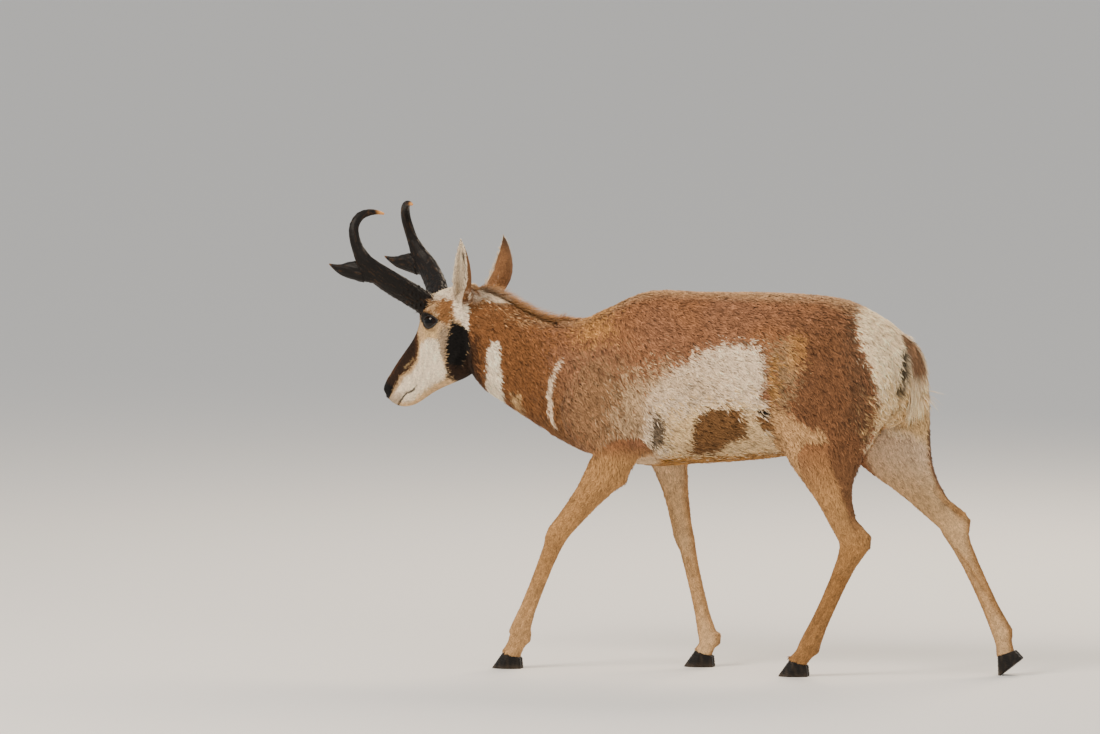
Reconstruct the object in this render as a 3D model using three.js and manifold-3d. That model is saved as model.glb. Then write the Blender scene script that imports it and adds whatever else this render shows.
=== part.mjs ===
// A pronghorn buck in life size, walking with its head low and turned a little to its right.
// Millimetres, +Z up, the animal faces -X and its left side is -Y. The floor is Z = 0.
import * as THREE from "three";
import Module from "manifold-3d";

const wasm = await Module();
wasm.setup();

// Gap between touching pieces, and how finely rings are drawn
const GAP = 0.3;
const TRUNK_SIDES = 24;
const HEAD_SIDES = 26;
const LEG_SIDES = 12;
const HORN_SIDES = 10;

// Driving sizes of the whole animal
const WITHERS_HEIGHT = 896;
const CROUP_HEIGHT = 884;
const CHEST_FLOOR = 478;
const CHEST_HALF = 136;
const BELLY_HALF = 150;
const FOOT_HALF_TRACK = 76;

// How the head is carried: its turn to the right, its slope below the level, and where its ear line lies
const HEAD_TURN = THREE.MathUtils.degToRad(10);
const HEAD_SLOPE = THREE.MathUtils.degToRad(53.3);
const HEAD_PLACE = new THREE.Vector3(-681, 25, 859);

// Joints of the four legs, x and z in the walking pose
const HIP = [283, 750];
const LEGS = {
  fore_left: { side: -1, elbow: [-258, 506], carpus: [-424, 310], fetlock: [-515, 78], toe: -582, girth: 0.97 },
  fore_right: { side: 1, elbow: [-196, 538], carpus: [-153, 300], fetlock: [-92, 68], toe: -154, girth: 0.9 },
  hind_left: { side: -1, hock: [291, 304], fetlock: [184, 70], toe: 112, bow: 1, rump: 1, girth: 0.93 },
  hind_right: { side: 1, hock: [497, 336], fetlock: [611, 104], toe: 606, bow: 0.62, rump: 0.9, girth: 0.88 },
};
const HEEL_UP = new THREE.Matrix4().makeRotationY(THREE.MathUtils.degToRad(-38));
const TOE_WEAR = 4;

const COLOURS = { tan: 0xb58458, cream: 0xe9dcc6, horn: 0x2f2926, hoof: 0x2a2522, eye: 0x120d0a, ear: 0xb98d63 };
const fur = new THREE.MeshStandardMaterial({ color: COLOURS.tan, roughness: 0.9, metalness: 0 });
const paleFur = new THREE.MeshStandardMaterial({ color: COLOURS.cream, roughness: 0.9, metalness: 0 });
const earFur = new THREE.MeshStandardMaterial({ color: COLOURS.ear, roughness: 0.9, metalness: 0 });
const hornKeratin = new THREE.MeshStandardMaterial({ color: COLOURS.horn, roughness: 0.55, metalness: 0 });
const hoofKeratin = new THREE.MeshStandardMaterial({ color: COLOURS.hoof, roughness: 0.5, metalness: 0 });
const wetEye = new THREE.MeshStandardMaterial({ color: COLOURS.eye, roughness: 0.08, metalness: 0 });

const vec = (x, y, z) => new THREE.Vector3(x, y, z);
const LATERAL = vec(0, 1, 0);
const UP = vec(0, 0, 1);

// Closed solid from triangles, turned so that its faces point out.
function solidOf(points, faces) {
  const positions = new Float32Array(points.flatMap((p) => [p.x, p.y, p.z]));
  const volume = faces.reduce((sum, [a, b, c]) => {
    const p = points[a];
    return sum + p.dot(points[b].clone().cross(points[c]));
  }, 0);
  const turned = volume < 0 ? faces.map(([a, b, c]) => [a, c, b]) : faces;
  return new wasm.Manifold(
    new wasm.Mesh({ numProp: 3, vertProperties: positions, triVerts: new Uint32Array(turned.flat()) }),
  );
}

const middleOf = (points) => points.reduce((sum, p) => sum.add(p), vec(0, 0, 0)).divideScalar(points.length);

// A solid skinned over rings of equal count, with a pole at each end. Grow moves its surface out all round.
function loft(drawn, grow = 0) {
  const sides = drawn[0].length;
  const middles = drawn.map(middleOf);
  const last = drawn.length - 1;
  const rings = drawn.map((points, row) => {
    const beyond = row === 0 ? middles[1] : middles[last - 1];
    const isEnd = row === 0 || row === last;
    const end = isEnd ? middles[row].clone().sub(beyond).setLength(grow) : vec(0, 0, 0);
    return points.map((p) => p.clone().add(p.clone().sub(middles[row]).setLength(grow)).add(end));
  });
  const points = rings.flat();
  const faces = [];
  rings.slice(1).forEach((_, row) => {
    for (let i = 0; i < sides; i++) {
      const a = row * sides + i;
      const b = row * sides + ((i + 1) % sides);
      faces.push([a, b, a + sides], [b, b + sides, a + sides]);
    }
  });
  [0, rings.length - 1].forEach((row) => {
    const pole = points.push(middleOf(rings[row])) - 1;
    for (let i = 0; i < sides; i++) {
      const a = row * sides + i;
      const b = row * sides + ((i + 1) % sides);
      faces.push(row === 0 ? [b, a, pole] : [a, b, pole]);
    }
  });
  return solidOf(points, faces);
}

// One ring: a rounded section with its own reach up, down and to both sides. Square is below 1 for a fuller section.
function ring({ at, across, rise, half, top, bottom, square = 1, sides }) {
  const points = [];
  for (let i = 0; i < sides; i++) {
    const angle = (2 * Math.PI * (i + 0.5)) / sides;
    const c = Math.cos(angle);
    const s = Math.sin(angle);
    const a = Math.sign(c) * Math.abs(c) ** square * half;
    const b = Math.sign(s) * Math.abs(s) ** square * (s > 0 ? top : bottom);
    points.push(at.clone().addScaledVector(across, a).addScaledVector(rise, b));
  }
  return points;
}

// Smooth rows between the given ones: every number in a row runs on a Catmull-Rom curve.
function smoothRows(rows, steps) {
  const fields = Object.keys(rows[0]);
  const out = [];
  for (let i = 0; i < rows.length - 1; i++) {
    const span = [rows[Math.max(i - 1, 0)], rows[i], rows[i + 1], rows[Math.min(i + 2, rows.length - 1)]];
    for (let k = 0; k < steps; k++) {
      const t = k / steps;
      const made = {};
      fields.forEach((f) => {
        const [p0, p1, p2, p3] = span.map((row) => row[f]);
        const bend = 2 * p1 + (p2 - p0) * t + (2 * p0 - 5 * p1 + 4 * p2 - p3) * t * t;
        made[f] = 0.5 * (bend + (3 * p1 - p0 - 3 * p2 + p3) * t * t * t);
      });
      out.push(made);
    }
  }
  out.push({ ...rows[rows.length - 1] });
  return out;
}

// Seeded random numbers, the same in every build.
function seeded(seed) {
  let state = seed;
  return () => {
    state = (state * 1664525 + 1013904223) % 4294967296;
    return state / 4294967296;
  };
}

const unite = (parts) => parts.slice(1).reduce((sum, part) => sum.add(part), parts[0]);

// The largest closed surface of a solid, with any hollow that joining sealed filled.
function largest(solid) {
  const bodies = solid.decompose();
  return bodies.reduce((best, body) => (body.volume() > best.volume() ? body : best));
}

// Both sides of a flat cut, each half a gap back from it: first the side that the normal points to.
function cutAt(solid, point, normal) {
  const n = normal.clone().normalize();
  const d = point.dot(n);
  return [
    solid.trimByPlane([n.x, n.y, n.z], d + GAP / 2),
    solid.trimByPlane([-n.x, -n.y, -n.z], -d + GAP / 2),
  ];
}

// A closed three.js geometry as a solid, with the corners that it repeats for its normals merged.
function solidOfGeometry(geometry, matrix) {
  const flat = geometry.index ? geometry.toNonIndexed() : geometry;
  const position = flat.getAttribute("position");
  const points = [];
  const seen = new Map();
  const index = [];
  for (let i = 0; i < position.count; i++) {
    const p = vec(0, 0, 0).fromBufferAttribute(position, i);
    const key = [p.x, p.y, p.z].map((v) => Math.round(v * 1000) + 0).join();
    if (!seen.has(key)) seen.set(key, points.push(p.applyMatrix4(matrix)) - 1);
    index.push(seen.get(key));
  }
  const faces = [];
  for (let i = 0; i < index.length; i += 3) {
    const [a, b, c] = index.slice(i, i + 3);
    if (a !== b && b !== c && a !== c) faces.push([a, b, c]);
  }
  return solidOf(points, faces);
}

// An ellipsoid in a frame: its centre and three half sizes along the frame's axes.
function ellipsoid(frame, at, halves, around = 16, down = 10) {
  const place = frame
    .clone()
    .multiply(new THREE.Matrix4().makeTranslation(...at))
    .multiply(new THREE.Matrix4().makeScale(...halves));
  return solidOfGeometry(new THREE.SphereGeometry(1, around, down), place);
}

// Trunk: chest, barrel, loin and croup, by stations from the breast to the tail.
const TRUNK = [
  { x: -478, back: 628, belly: 568, half: 26, wide: 598 },
  { x: -462, back: 680, belly: 553, half: 58, wide: 612 },
  { x: -428, back: 770, belly: 535, half: 90, wide: 635 },
  { x: -380, back: 822, belly: 512, half: 110, wide: 650 },
  { x: -310, back: 856, belly: 494, half: 121, wide: 656 },
  { x: -250, back: 885, belly: 483, half: 127, wide: 660 },
  { x: -190, back: WITHERS_HEIGHT, belly: CHEST_FLOOR, half: CHEST_HALF, wide: 662 },
  { x: -100, back: 893, belly: 487, half: 145, wide: 660 },
  { x: 10, back: 895, belly: 496, half: BELLY_HALF, wide: 655 },
  { x: 120, back: 894, belly: 510, half: 144, wide: 676 },
  { x: 200, back: 889, belly: 535, half: 134, wide: 700 },
  { x: 260, back: CROUP_HEIGHT - 5, belly: 556, half: 124, wide: 712 },
  { x: 318, back: 853, belly: 569, half: 111, wide: 715 },
  { x: 364, back: 825, belly: 582, half: 93, wide: 708 },
  { x: 396, back: 796, belly: 602, half: 70, wide: 700 },
  { x: 417, back: 762, belly: 632, half: 45, wide: 696 },
  { x: 428, back: 724, belly: 668, half: 18, wide: 694 },
];

function trunkRings() {
  return smoothRows(TRUNK, 2).map((row) =>
    ring({
      at: vec(row.x, 0, row.wide),
      across: LATERAL,
      rise: UP,
      half: row.half,
      top: row.back - row.wide,
      bottom: row.wide - row.belly,
      square: 0.88,
      sides: TRUNK_SIDES,
    }),
  );
}

// Neck: each station runs from the crest to the throat, and drifts to the right as the head turns.
const NECK = [
  { crestX: -668, crestZ: 880, throatX: -672, throatZ: 712, half: 50, y: 26 },
  { crestX: -640, crestZ: 897, throatX: -656, throatZ: 682, half: 60, y: 23 },
  { crestX: -596, crestZ: 884, throatX: -628, throatZ: 652, half: 63, y: 18 },
  { crestX: -548, crestZ: 860, throatX: -594, throatZ: 631, half: 66, y: 12 },
  { crestX: -500, crestZ: 836, throatX: -556, throatZ: 608, half: 71, y: 7 },
  { crestX: -450, crestZ: 822, throatX: -515, throatZ: 584, half: 79, y: 3 },
  { crestX: -398, crestZ: 823, throatX: -472, throatZ: 560, half: 90, y: 0 },
  { crestX: -335, crestZ: 836, throatX: -415, throatZ: 545, half: 100, y: 0 },
];

function neckRings() {
  return smoothRows(NECK, 2).map((row) => {
    const crest = vec(row.crestX, row.y, row.crestZ);
    const throat = vec(row.throatX, row.y, row.throatZ);
    const rise = crest.clone().sub(throat);
    const depth = rise.length();
    return ring({
      at: throat.clone().addScaledVector(rise, 0.5),
      across: LATERAL,
      rise: rise.clone().normalize(),
      half: row.half,
      top: depth / 2,
      bottom: depth / 2,
      square: 0.95,
      sides: TRUNK_SIDES,
    });
  });
}

// A flat tapered lock that bends as it lies. Its root is sunk under the surface, and its width runs along "wide".
function lock({ root, lie, wide, bend, length, width, thick }) {
  const thin = lie.clone().cross(wide).normalize();
  const rings = [-0.3, 0.15, 0.5, 0.82].map((t, i) => {
    const taper = [0.75, 1, 0.8, 0.34][i];
    const at = root.clone().addScaledVector(lie, t * length).addScaledVector(bend, t * t * length);
    const reach = (thick / 2) * taper;
    return ring({ at, across: wide, rise: thin, half: (width / 2) * taper, top: reach, bottom: reach, sides: 5 });
  });
  return loft(rings);
}

// Mane: two staggered rows of locks along the crest of the neck. They stand on edge and lean back over each other.
const MANE = {
  first: 0.12,
  last: 0.76,
  perRow: 13,
  offset: 6,
  length: 37,
  width: 23,
  thick: 7,
  lean: 56,
  droop: 0.22,
};

// The point on the crest of the neck at a share of its length, with the direction to the withers there.
function crestAt(share) {
  const rows = smoothRows(NECK, 8);
  const i = Math.min(Math.floor(share * (rows.length - 1)), rows.length - 2);
  const [a, b] = [rows[i], rows[i + 1]].map((row) => vec(row.crestX, row.y, row.crestZ));
  return { point: a.clone().lerp(b, share * (rows.length - 1) - i), along: b.sub(a).normalize() };
}

function maneLocks() {
  const draw = seeded(7);
  const locks = [];
  [-1, 1].forEach((side, row) => {
    for (let i = 0; i < MANE.perRow; i++) {
      const share = MANE.first + ((MANE.last - MANE.first) * (i + row / 2)) / MANE.perRow;
      const { point, along } = crestAt(share);
      const up = LATERAL.clone().cross(along).normalize();
      if (up.z < 0) up.negate();
      const fade = Math.min(1, 0.55 + 0.18 * i, 0.5 + 0.12 * (MANE.perRow - i));
      const tilt = THREE.MathUtils.degToRad(MANE.lean + 10 * (draw() - 0.5));
      const lie = along.clone().multiplyScalar(Math.sin(tilt)).addScaledVector(up, Math.cos(tilt));
      lie.addScaledVector(LATERAL, 0.12 * side + 0.1 * (draw() - 0.5)).normalize();
      const root = point.clone().add(vec(0, side * MANE.offset, -3));
      const wide = lie.clone().cross(LATERAL).normalize();
      locks.push(
        lock({
          root,
          lie,
          wide,
          bend: up.clone().multiplyScalar(-MANE.droop),
          length: MANE.length * fade * (0.85 + 0.3 * draw()),
          width: MANE.width,
          thick: MANE.thick,
        }),
      );
    }
  });
  return locks;
}

// Head frame: x from the ear line to the nose, y to the animal's left, z to the brow.
const headForward = vec(
  -Math.cos(HEAD_SLOPE) * Math.cos(HEAD_TURN),
  Math.cos(HEAD_SLOPE) * Math.sin(HEAD_TURN),
  -Math.sin(HEAD_SLOPE),
);
const headLeft = vec(-Math.sin(HEAD_TURN), -Math.cos(HEAD_TURN), 0);
const headUp = headForward.clone().cross(headLeft);
const headFrame = new THREE.Matrix4().makeBasis(headForward, headLeft, headUp).setPosition(HEAD_PLACE);
// The same place and turn with the slope left out: x level to the front, z up.
const levelForward = vec(-Math.cos(HEAD_TURN), Math.sin(HEAD_TURN), 0);
const levelFrame = new THREE.Matrix4().makeBasis(levelForward, headLeft, UP).setPosition(HEAD_PLACE);

// Head stations from the back of the skull to the nose: brow and jaw lines, half width, and the height of the
// widest place.
const HEAD = [
  { f: -58, brow: -14, jaw: -44, half: 18, wide: -30, square: 1 },
  { f: -44, brow: 10, jaw: -62, half: 40, wide: -26, square: 1 },
  { f: -18, brow: 34, jaw: -80, half: 55, wide: -14, square: 0.95 },
  { f: 14, brow: 58, jaw: -94, half: 58, wide: -6, square: 0.92 },
  { f: 46, brow: 69, jaw: -106, half: 58, wide: 4, square: 0.9 },
  { f: 78, brow: 66, jaw: -116, half: 56, wide: 0, square: 0.88 },
  { f: 106, brow: 55, jaw: -121, half: 53, wide: -10, square: 0.86 },
  { f: 134, brow: 47, jaw: -119, half: 49, wide: -22, square: 0.84 },
  { f: 164, brow: 45, jaw: -103, half: 43, wide: -24, square: 0.84 },
  { f: 196, brow: 46, jaw: -84, half: 36, wide: -18, square: 0.84 },
  { f: 228, brow: 46, jaw: -68, half: 31, wide: -10, square: 0.82 },
  { f: 256, brow: 44, jaw: -58, half: 29, wide: -4, square: 0.8 },
  { f: 280, brow: 42, jaw: -46, half: 28, wide: 0, square: 0.8 },
  { f: 296, brow: 37, jaw: -33, half: 24, wide: 4, square: 0.84 },
  { f: 306, brow: 24, jaw: -17, half: 14, wide: 5, square: 0.95 },
];

// Swellings and hollows of the head's two sides: where, how wide, and how far out (below zero is in).
const HEAD_RELIEF = [
  { at: [64, 56, 34], spread: 27, out: 15 }, // bony rim over the eye
  { at: [98, 54, -2], spread: 24, out: 8 }, // cheekbone under the eye
  { at: [48, 60, -12], spread: 26, out: 6 }, // temple behind the eye
  { at: [104, 44, -70], spread: 40, out: 7 }, // chewing muscle
  { at: [118, 48, 12], spread: 18, out: -5 }, // hollow in front of the eye
  { at: [160, 40, -30], spread: 26, out: -4 }, // hollow behind the corner of the mouth
  { at: [30, 56, -66], spread: 24, out: -6 }, // hollow behind the jaw
  { at: [272, 26, 10], spread: 22, out: 4 }, // nostril's rim
  { at: [268, 26, -14], spread: 14, out: 3 }, // upper lip
  { at: [278, 20, -38], spread: 14, out: 3 }, // chin
];

function headRelief(point, middle) {
  let out = 0;
  HEAD_RELIEF.forEach(({ at, spread, out: amount }) => {
    const gap = vec(at[0], Math.sign(point.y) * at[1], at[2]).distanceTo(point);
    out += amount * Math.exp(-((gap / spread) ** 2));
  });
  return point.clone().addScaledVector(point.clone().sub(middle).normalize(), out);
}

function headLoft(grow = 0) {
  const rings = smoothRows(HEAD, 2).map((row) => {
    const middle = vec(row.f, 0, row.wide);
    const outline = ring({
      at: middle,
      across: LATERAL,
      rise: UP,
      half: row.half,
      top: row.brow - row.wide,
      bottom: row.wide - row.jaw,
      square: row.square,
      sides: HEAD_SIDES,
    });
    return outline.map((point) => headRelief(point, middle).applyMatrix4(headFrame));
  });
  return loft(rings, grow);
}

// Eyes: large, set wide under the horns. Their corners stay level while the face slopes, so they are placed on level
// axes: forward, to the side and up from the ear line.
const EYE = { at: [55, 45, -50], radius: 24.5, lid: 2.2, ahead: 0.26, raised: 0.06, tilt: -0.1 };
const LIDS = { front: 21, rear: 21.5, upper: 15, lower: 13 };

function eyeFrame(side) {
  const out = vec(EYE.ahead, side, EYE.raised).normalize();
  const along = vec(1, 0, EYE.tilt);
  along.addScaledVector(out, -out.dot(along)).normalize();
  const rise = out.clone().cross(along).multiplyScalar(side);
  const local = new THREE.Matrix4().makeBasis(along, rise, out);
  local.setPosition(EYE.at[0], side * EYE.at[1], EYE.at[2]);
  return levelFrame.clone().multiply(local);
}

const eyeSphere = (side, radius) => ellipsoid(eyeFrame(side), [0, 0, 0], [radius, radius, radius], 15, 8);

// The lids are a shell over the eyeball, with an almond cut through it and a socket behind.
function eyeParts(side) {
  const lidRadius = EYE.radius + GAP + EYE.lid;
  const shell = eyeSphere(side, lidRadius);
  const socket = eyeSphere(side, EYE.radius + GAP);
  const almond = new THREE.Shape();
  almond.moveTo(-LIDS.rear, 0);
  almond.bezierCurveTo(-LIDS.rear * 0.55, LIDS.upper * 1.25, LIDS.front * 0.5, LIDS.upper * 1.45, LIDS.front, 0);
  almond.bezierCurveTo(LIDS.front * 0.5, -LIDS.lower * 1.25, -LIDS.rear * 0.5, -LIDS.lower * 1.45, -LIDS.rear, 0);
  const slit = new THREE.ExtrudeGeometry(almond, { depth: 2 * lidRadius, bevelEnabled: false, curveSegments: 7 });
  return { shell, socket, slit: solidOfGeometry(slit, eyeFrame(side)) };
}

// Mouth: a thin curved slot that only bites a little way in, from the lips back to the corner.
const MOUTH = { corner: [240, -20], bend: [268, -26], lips: [316, -7], slot: 1.8, bite: 5 };

function mouthGroove() {
  const line = new THREE.Shape();
  line.moveTo(MOUTH.corner[0], MOUTH.corner[1]);
  line.quadraticCurveTo(MOUTH.bend[0], MOUTH.bend[1], MOUTH.lips[0], MOUTH.lips[1]);
  line.lineTo(MOUTH.lips[0], MOUTH.lips[1] - MOUTH.slot);
  line.quadraticCurveTo(MOUTH.bend[0], MOUTH.bend[1] - 1.6 * MOUTH.slot, MOUTH.corner[0], MOUTH.corner[1]);
  const plate = new THREE.ExtrudeGeometry(line, { depth: 100, bevelEnabled: false, curveSegments: 8 });
  // the shape's x and y are the head's x and z, and it is as deep as the muzzle is wide
  const stand = new THREE.Matrix4().makeBasis(vec(1, 0, 0), vec(0, 0, 1), vec(0, -1, 0)).setPosition(0, 50, 0);
  return solidOfGeometry(plate, headFrame.clone().multiply(stand)).subtract(headLoft(-MOUTH.bite));
}

// Nostrils: slanting hollows at the sides of the nose.
const NOSTRIL = { at: [296, 15, 22], halves: [11, 5.5, 6.5], turn: 0.55 };

function nostril(side) {
  const place = new THREE.Matrix4().makeTranslation(NOSTRIL.at[0], side * NOSTRIL.at[1], NOSTRIL.at[2]);
  const turned = new THREE.Matrix4().makeRotationZ(-side * NOSTRIL.turn);
  return ellipsoid(headFrame.clone().multiply(place).multiply(turned), [0, 0, 0], NOSTRIL.halves, 10, 6);
}

function headSolid(neck) {
  let head = unite([headLoft(), neck]);
  [1, -1].forEach((side) => {
    const { shell, socket, slit } = eyeParts(side);
    head = head.add(shell).subtract(socket).subtract(slit).subtract(nostril(side));
  });
  return head.subtract(mouthGroove());
}

// Horns: a flattened shaft to the fork, a prong that points forward and a hook that curls back and in.
// Each place is forward, outward and up from the middle of the horn's root, with the shaft's depth and thickness.
const HORN_ROOT = [82, 46, -10];
const SHAFT = [
  { x: -10, y: -8, z: -8, deep: 27, thick: 18 },
  { x: 2, y: 2, z: 8, deep: 28, thick: 18.5 },
  { x: 38, y: 50, z: 42, deep: 29, thick: 16 },
  { x: 74, y: 86, z: 74, deep: 27, thick: 13.5 },
  { x: 104, y: 102, z: 104, deep: 21, thick: 12 },
  { x: 122, y: 104, z: 136, deep: 14, thick: 11 },
];
const HOOK = [
  { x: 104, y: 102, z: 104, deep: 21, thick: 12 },
  { x: 122, y: 104, z: 136, deep: 14, thick: 11 },
  { x: 132, y: 103, z: 164, deep: 12.2, thick: 10.5 },
  { x: 135, y: 96, z: 190, deep: 11.6, thick: 10 },
  { x: 127, y: 81, z: 211, deep: 10.4, thick: 9.4 },
  { x: 112, y: 63, z: 219, deep: 8, thick: 7.6 },
  { x: 97, y: 50, z: 219, deep: 5.2, thick: 5 },
  { x: 84, y: 40, z: 215, deep: 2.4, thick: 2.4 },
];
const PRONG = [
  { x: 62, y: 80, z: 66, deep: 17, thick: 9 },
  { x: 98, y: 98, z: 80, deep: 24, thick: 11 },
  { x: 132, y: 104, z: 84, deep: 20, thick: 9.5 },
  { x: 164, y: 105, z: 85, deep: 11.5, thick: 7 },
  { x: 188, y: 104, z: 93, deep: 5, thick: 4 },
  { x: 198, y: 103, z: 98, deep: 1.6, thick: 1.6 },
];

// The right hook grew taller and less far back than the left: how far its tip moves.
const RIGHT_SWAY = [12, 0, 16];

// A place on a horn, in the animal's frame.
function hornPlace(side, x, y, z) {
  return vec(HORN_ROOT[0] + x, side * (HORN_ROOT[1] + y), HORN_ROOT[2] + z).applyMatrix4(levelFrame);
}

// A horn branch: its sections stand square to its run, and are deep in the plane of the fork.
function branch(rows, side, { sway = [0, 0, 0], grow = 0 } = {}) {
  const made = smoothRows(rows, 2);
  const points = made.map((row, i) => {
    const share = Math.max(0, i / (made.length - 1) - 0.25);
    return hornPlace(side, row.x + sway[0] * share, row.y + sway[1] * share, row.z + sway[2] * share);
  });
  const outward = headLeft.clone().multiplyScalar(side);
  const rings = made.map((row, i) => {
    const run = points[Math.min(i + 1, points.length - 1)].clone().sub(points[Math.max(i - 1, 0)]).normalize();
    const across = outward.clone().addScaledVector(run, -outward.dot(run)).normalize();
    const rise = across.clone().cross(run).normalize();
    return ring({ at: points[i], across, rise, half: row.thick, top: row.deep, bottom: row.deep, sides: HORN_SIDES });
  });
  return loft(rings, grow);
}

function hornPieces(side) {
  const shaft = branch(SHAFT, side);
  const hook = branch(HOOK, side, side < 0 ? { sway: RIGHT_SWAY } : {});
  const prong = branch(PRONG, side);
  const whole = unite([shaft, hook, prong]);
  const prongWay = hornPlace(side, 164, 105, 59).sub(hornPlace(side, 118, 102, 83));
  const [prongPart, rest] = cutAt(whole, hornPlace(side, 133, 104, 84), prongWay);
  const hookWay = hornPlace(side, 132, 103, 164).sub(hornPlace(side, 104, 102, 104));
  const [hookPart, shaftPart] = cutAt(rest, hornPlace(side, 119, 104, 128), hookWay);
  return { shaft: shaftPart, prong: prongPart, hook: hookPart };
}

// Ears: upright leaves rolled into a cup that opens out and forward, on a short tube.
const EAR = {
  root: [-16, 32, -26],
  left: { tip: [-16, 54, 175], open: [0.4, 1, 0.1], bend: [-8, 20, 0] },
  right: { tip: [-37, 76, 175], open: [0.8, 0.6, 0.1], bend: [-24, 14, -6] },
  rows: [
    { t: -0.02, wide: 14, wrap: 160 },
    { t: 0.14, wide: 19, wrap: 150 },
    { t: 0.3, wide: 23.5, wrap: 124 },
    { t: 0.48, wide: 26, wrap: 102 },
    { t: 0.67, wide: 23, wrap: 88 },
    { t: 0.84, wide: 15.5, wrap: 74 },
    { t: 0.95, wide: 7.5, wrap: 62 },
    { t: 1, wide: 2.6, wrap: 60 },
  ],
  thick: 3.2,
  arc: 6,
};

function earSolid(side) {
  const spec = side > 0 ? EAR.left : EAR.right;
  const root = vec(EAR.root[0], side * EAR.root[1], EAR.root[2]);
  const span = vec(spec.tip[0], side * spec.tip[1], spec.tip[2]);
  const bend = vec(spec.bend[0], side * spec.bend[1], spec.bend[2]);
  const run = span.clone().normalize();
  const open = vec(spec.open[0], side * spec.open[1], spec.open[2]);
  open.addScaledVector(run, -open.dot(run)).normalize();
  const across = run.clone().cross(open).normalize();
  const rings = smoothRows(EAR.rows, 2).map((row) => {
    const arch = Math.sin(Math.PI * Math.max(row.t, 0));
    const at = root.clone().addScaledVector(span, row.t).addScaledVector(bend, arch);
    const wrap = THREE.MathUtils.degToRad(row.wrap);
    const outer = [];
    const inner = [];
    for (let i = 0; i < EAR.arc; i++) {
      const angle = -wrap + (2 * wrap * i) / (EAR.arc - 1);
      const radial = open.clone().multiplyScalar(-Math.cos(angle)).addScaledVector(across, Math.sin(angle));
      const wall = Math.min(EAR.thick, row.wide * 0.7);
      outer.push(at.clone().addScaledVector(radial, row.wide));
      inner.unshift(at.clone().addScaledVector(radial, row.wide - wall));
    }
    return [...outer, ...inner].map((p) => p.applyMatrix4(levelFrame));
  });
  return loft(rings);
}

// Tail: short, hanging between the buttocks, with locks that hang from its end and sides.
const TAIL = [
  { x: 360, y: 0, z: 792, deep: 20, half: 19 },
  { x: 390, y: 0, z: 784, deep: 20, half: 21 },
  { x: 416, y: 0, z: 758, deep: 18, half: 21 },
  { x: 429, y: 0, z: 726, deep: 15, half: 19 },
  { x: 432, y: 0, z: 698, deep: 10, half: 14 },
  { x: 431, y: 0, z: 680, deep: 4, half: 6 },
];

function tailSolid() {
  const rows = smoothRows(TAIL, 2);
  const points = rows.map((row) => vec(row.x, row.y, row.z));
  const rings = rows.map((row, i) => {
    const run = points[Math.min(i + 1, rows.length - 1)].clone().sub(points[Math.max(i - 1, 0)]).normalize();
    const rise = run.clone().cross(LATERAL).normalize();
    return ring({ at: points[i], across: LATERAL, rise, half: row.half, top: row.deep, bottom: row.deep, sides: 12 });
  });
  return unite([loft(rings), ...tailLocks()]);
}

// Locks that hang over each other from the sides and end of the tail.
function tailLocks() {
  const draw = seeded(19);
  const locks = [];
  [-14, 0, 14].forEach((y) => {
    [726, 704, 688].forEach((z) => {
      const lie = vec(0.05 + 0.08 * draw(), y * 0.008, -1).normalize();
      const outward = vec(1, y * 0.04, 0);
      const wide = lie.clone().cross(outward).normalize();
      const root = vec(434 - Math.abs(y) * 0.35, y * 0.75, z + 6 * draw());
      locks.push(lock({ root, lie, wide, bend: vec(-0.12, 0, 0), length: 44 + 8 * draw(), width: 15, thick: 6 }));
    });
  });
  return locks;
}

// Unit vector in the leg's own plane from one joint to the next, and the direction of the leg's front there.
const inPlane = ([ax, az], [bx, bz]) => vec(bx - ax, 0, bz - az).normalize();
const frontOf = (run) => vec(run.z, 0, -run.x);

// Rings down a leg. Each row names a bone, a share of its length, and the reach to the front, back and sides.
function legRings(joints, ys, rows, girth) {
  return rows.map((row) => {
    const [a, b] = [joints[row.bone], joints[row.bone + 1]];
    const x = THREE.MathUtils.lerp(a[0], b[0], row.t);
    const z = THREE.MathUtils.lerp(a[1], b[1], row.t);
    const y = THREE.MathUtils.lerp(ys[row.bone], ys[row.bone + 1], row.t);
    const run = inPlane(a, b);
    const other = row.t > 0.5 ? joints[row.bone + 2] : joints[row.bone - 1];
    if (other) {
      const next = row.t > 0.5 ? inPlane(b, other) : inPlane(other, a);
      const near = Math.max(0, 1 - Math.min(Math.abs(row.t), Math.abs(1 - row.t)) / 0.16);
      run.lerp(next, near * 0.5).normalize();
    }
    return ring({
      at: vec(x, y, z),
      across: LATERAL,
      rise: frontOf(run),
      half: row.half * girth,
      top: row.front * girth,
      bottom: row.back * girth,
      square: 0.92,
      sides: LEG_SIDES,
    });
  });
}

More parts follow.
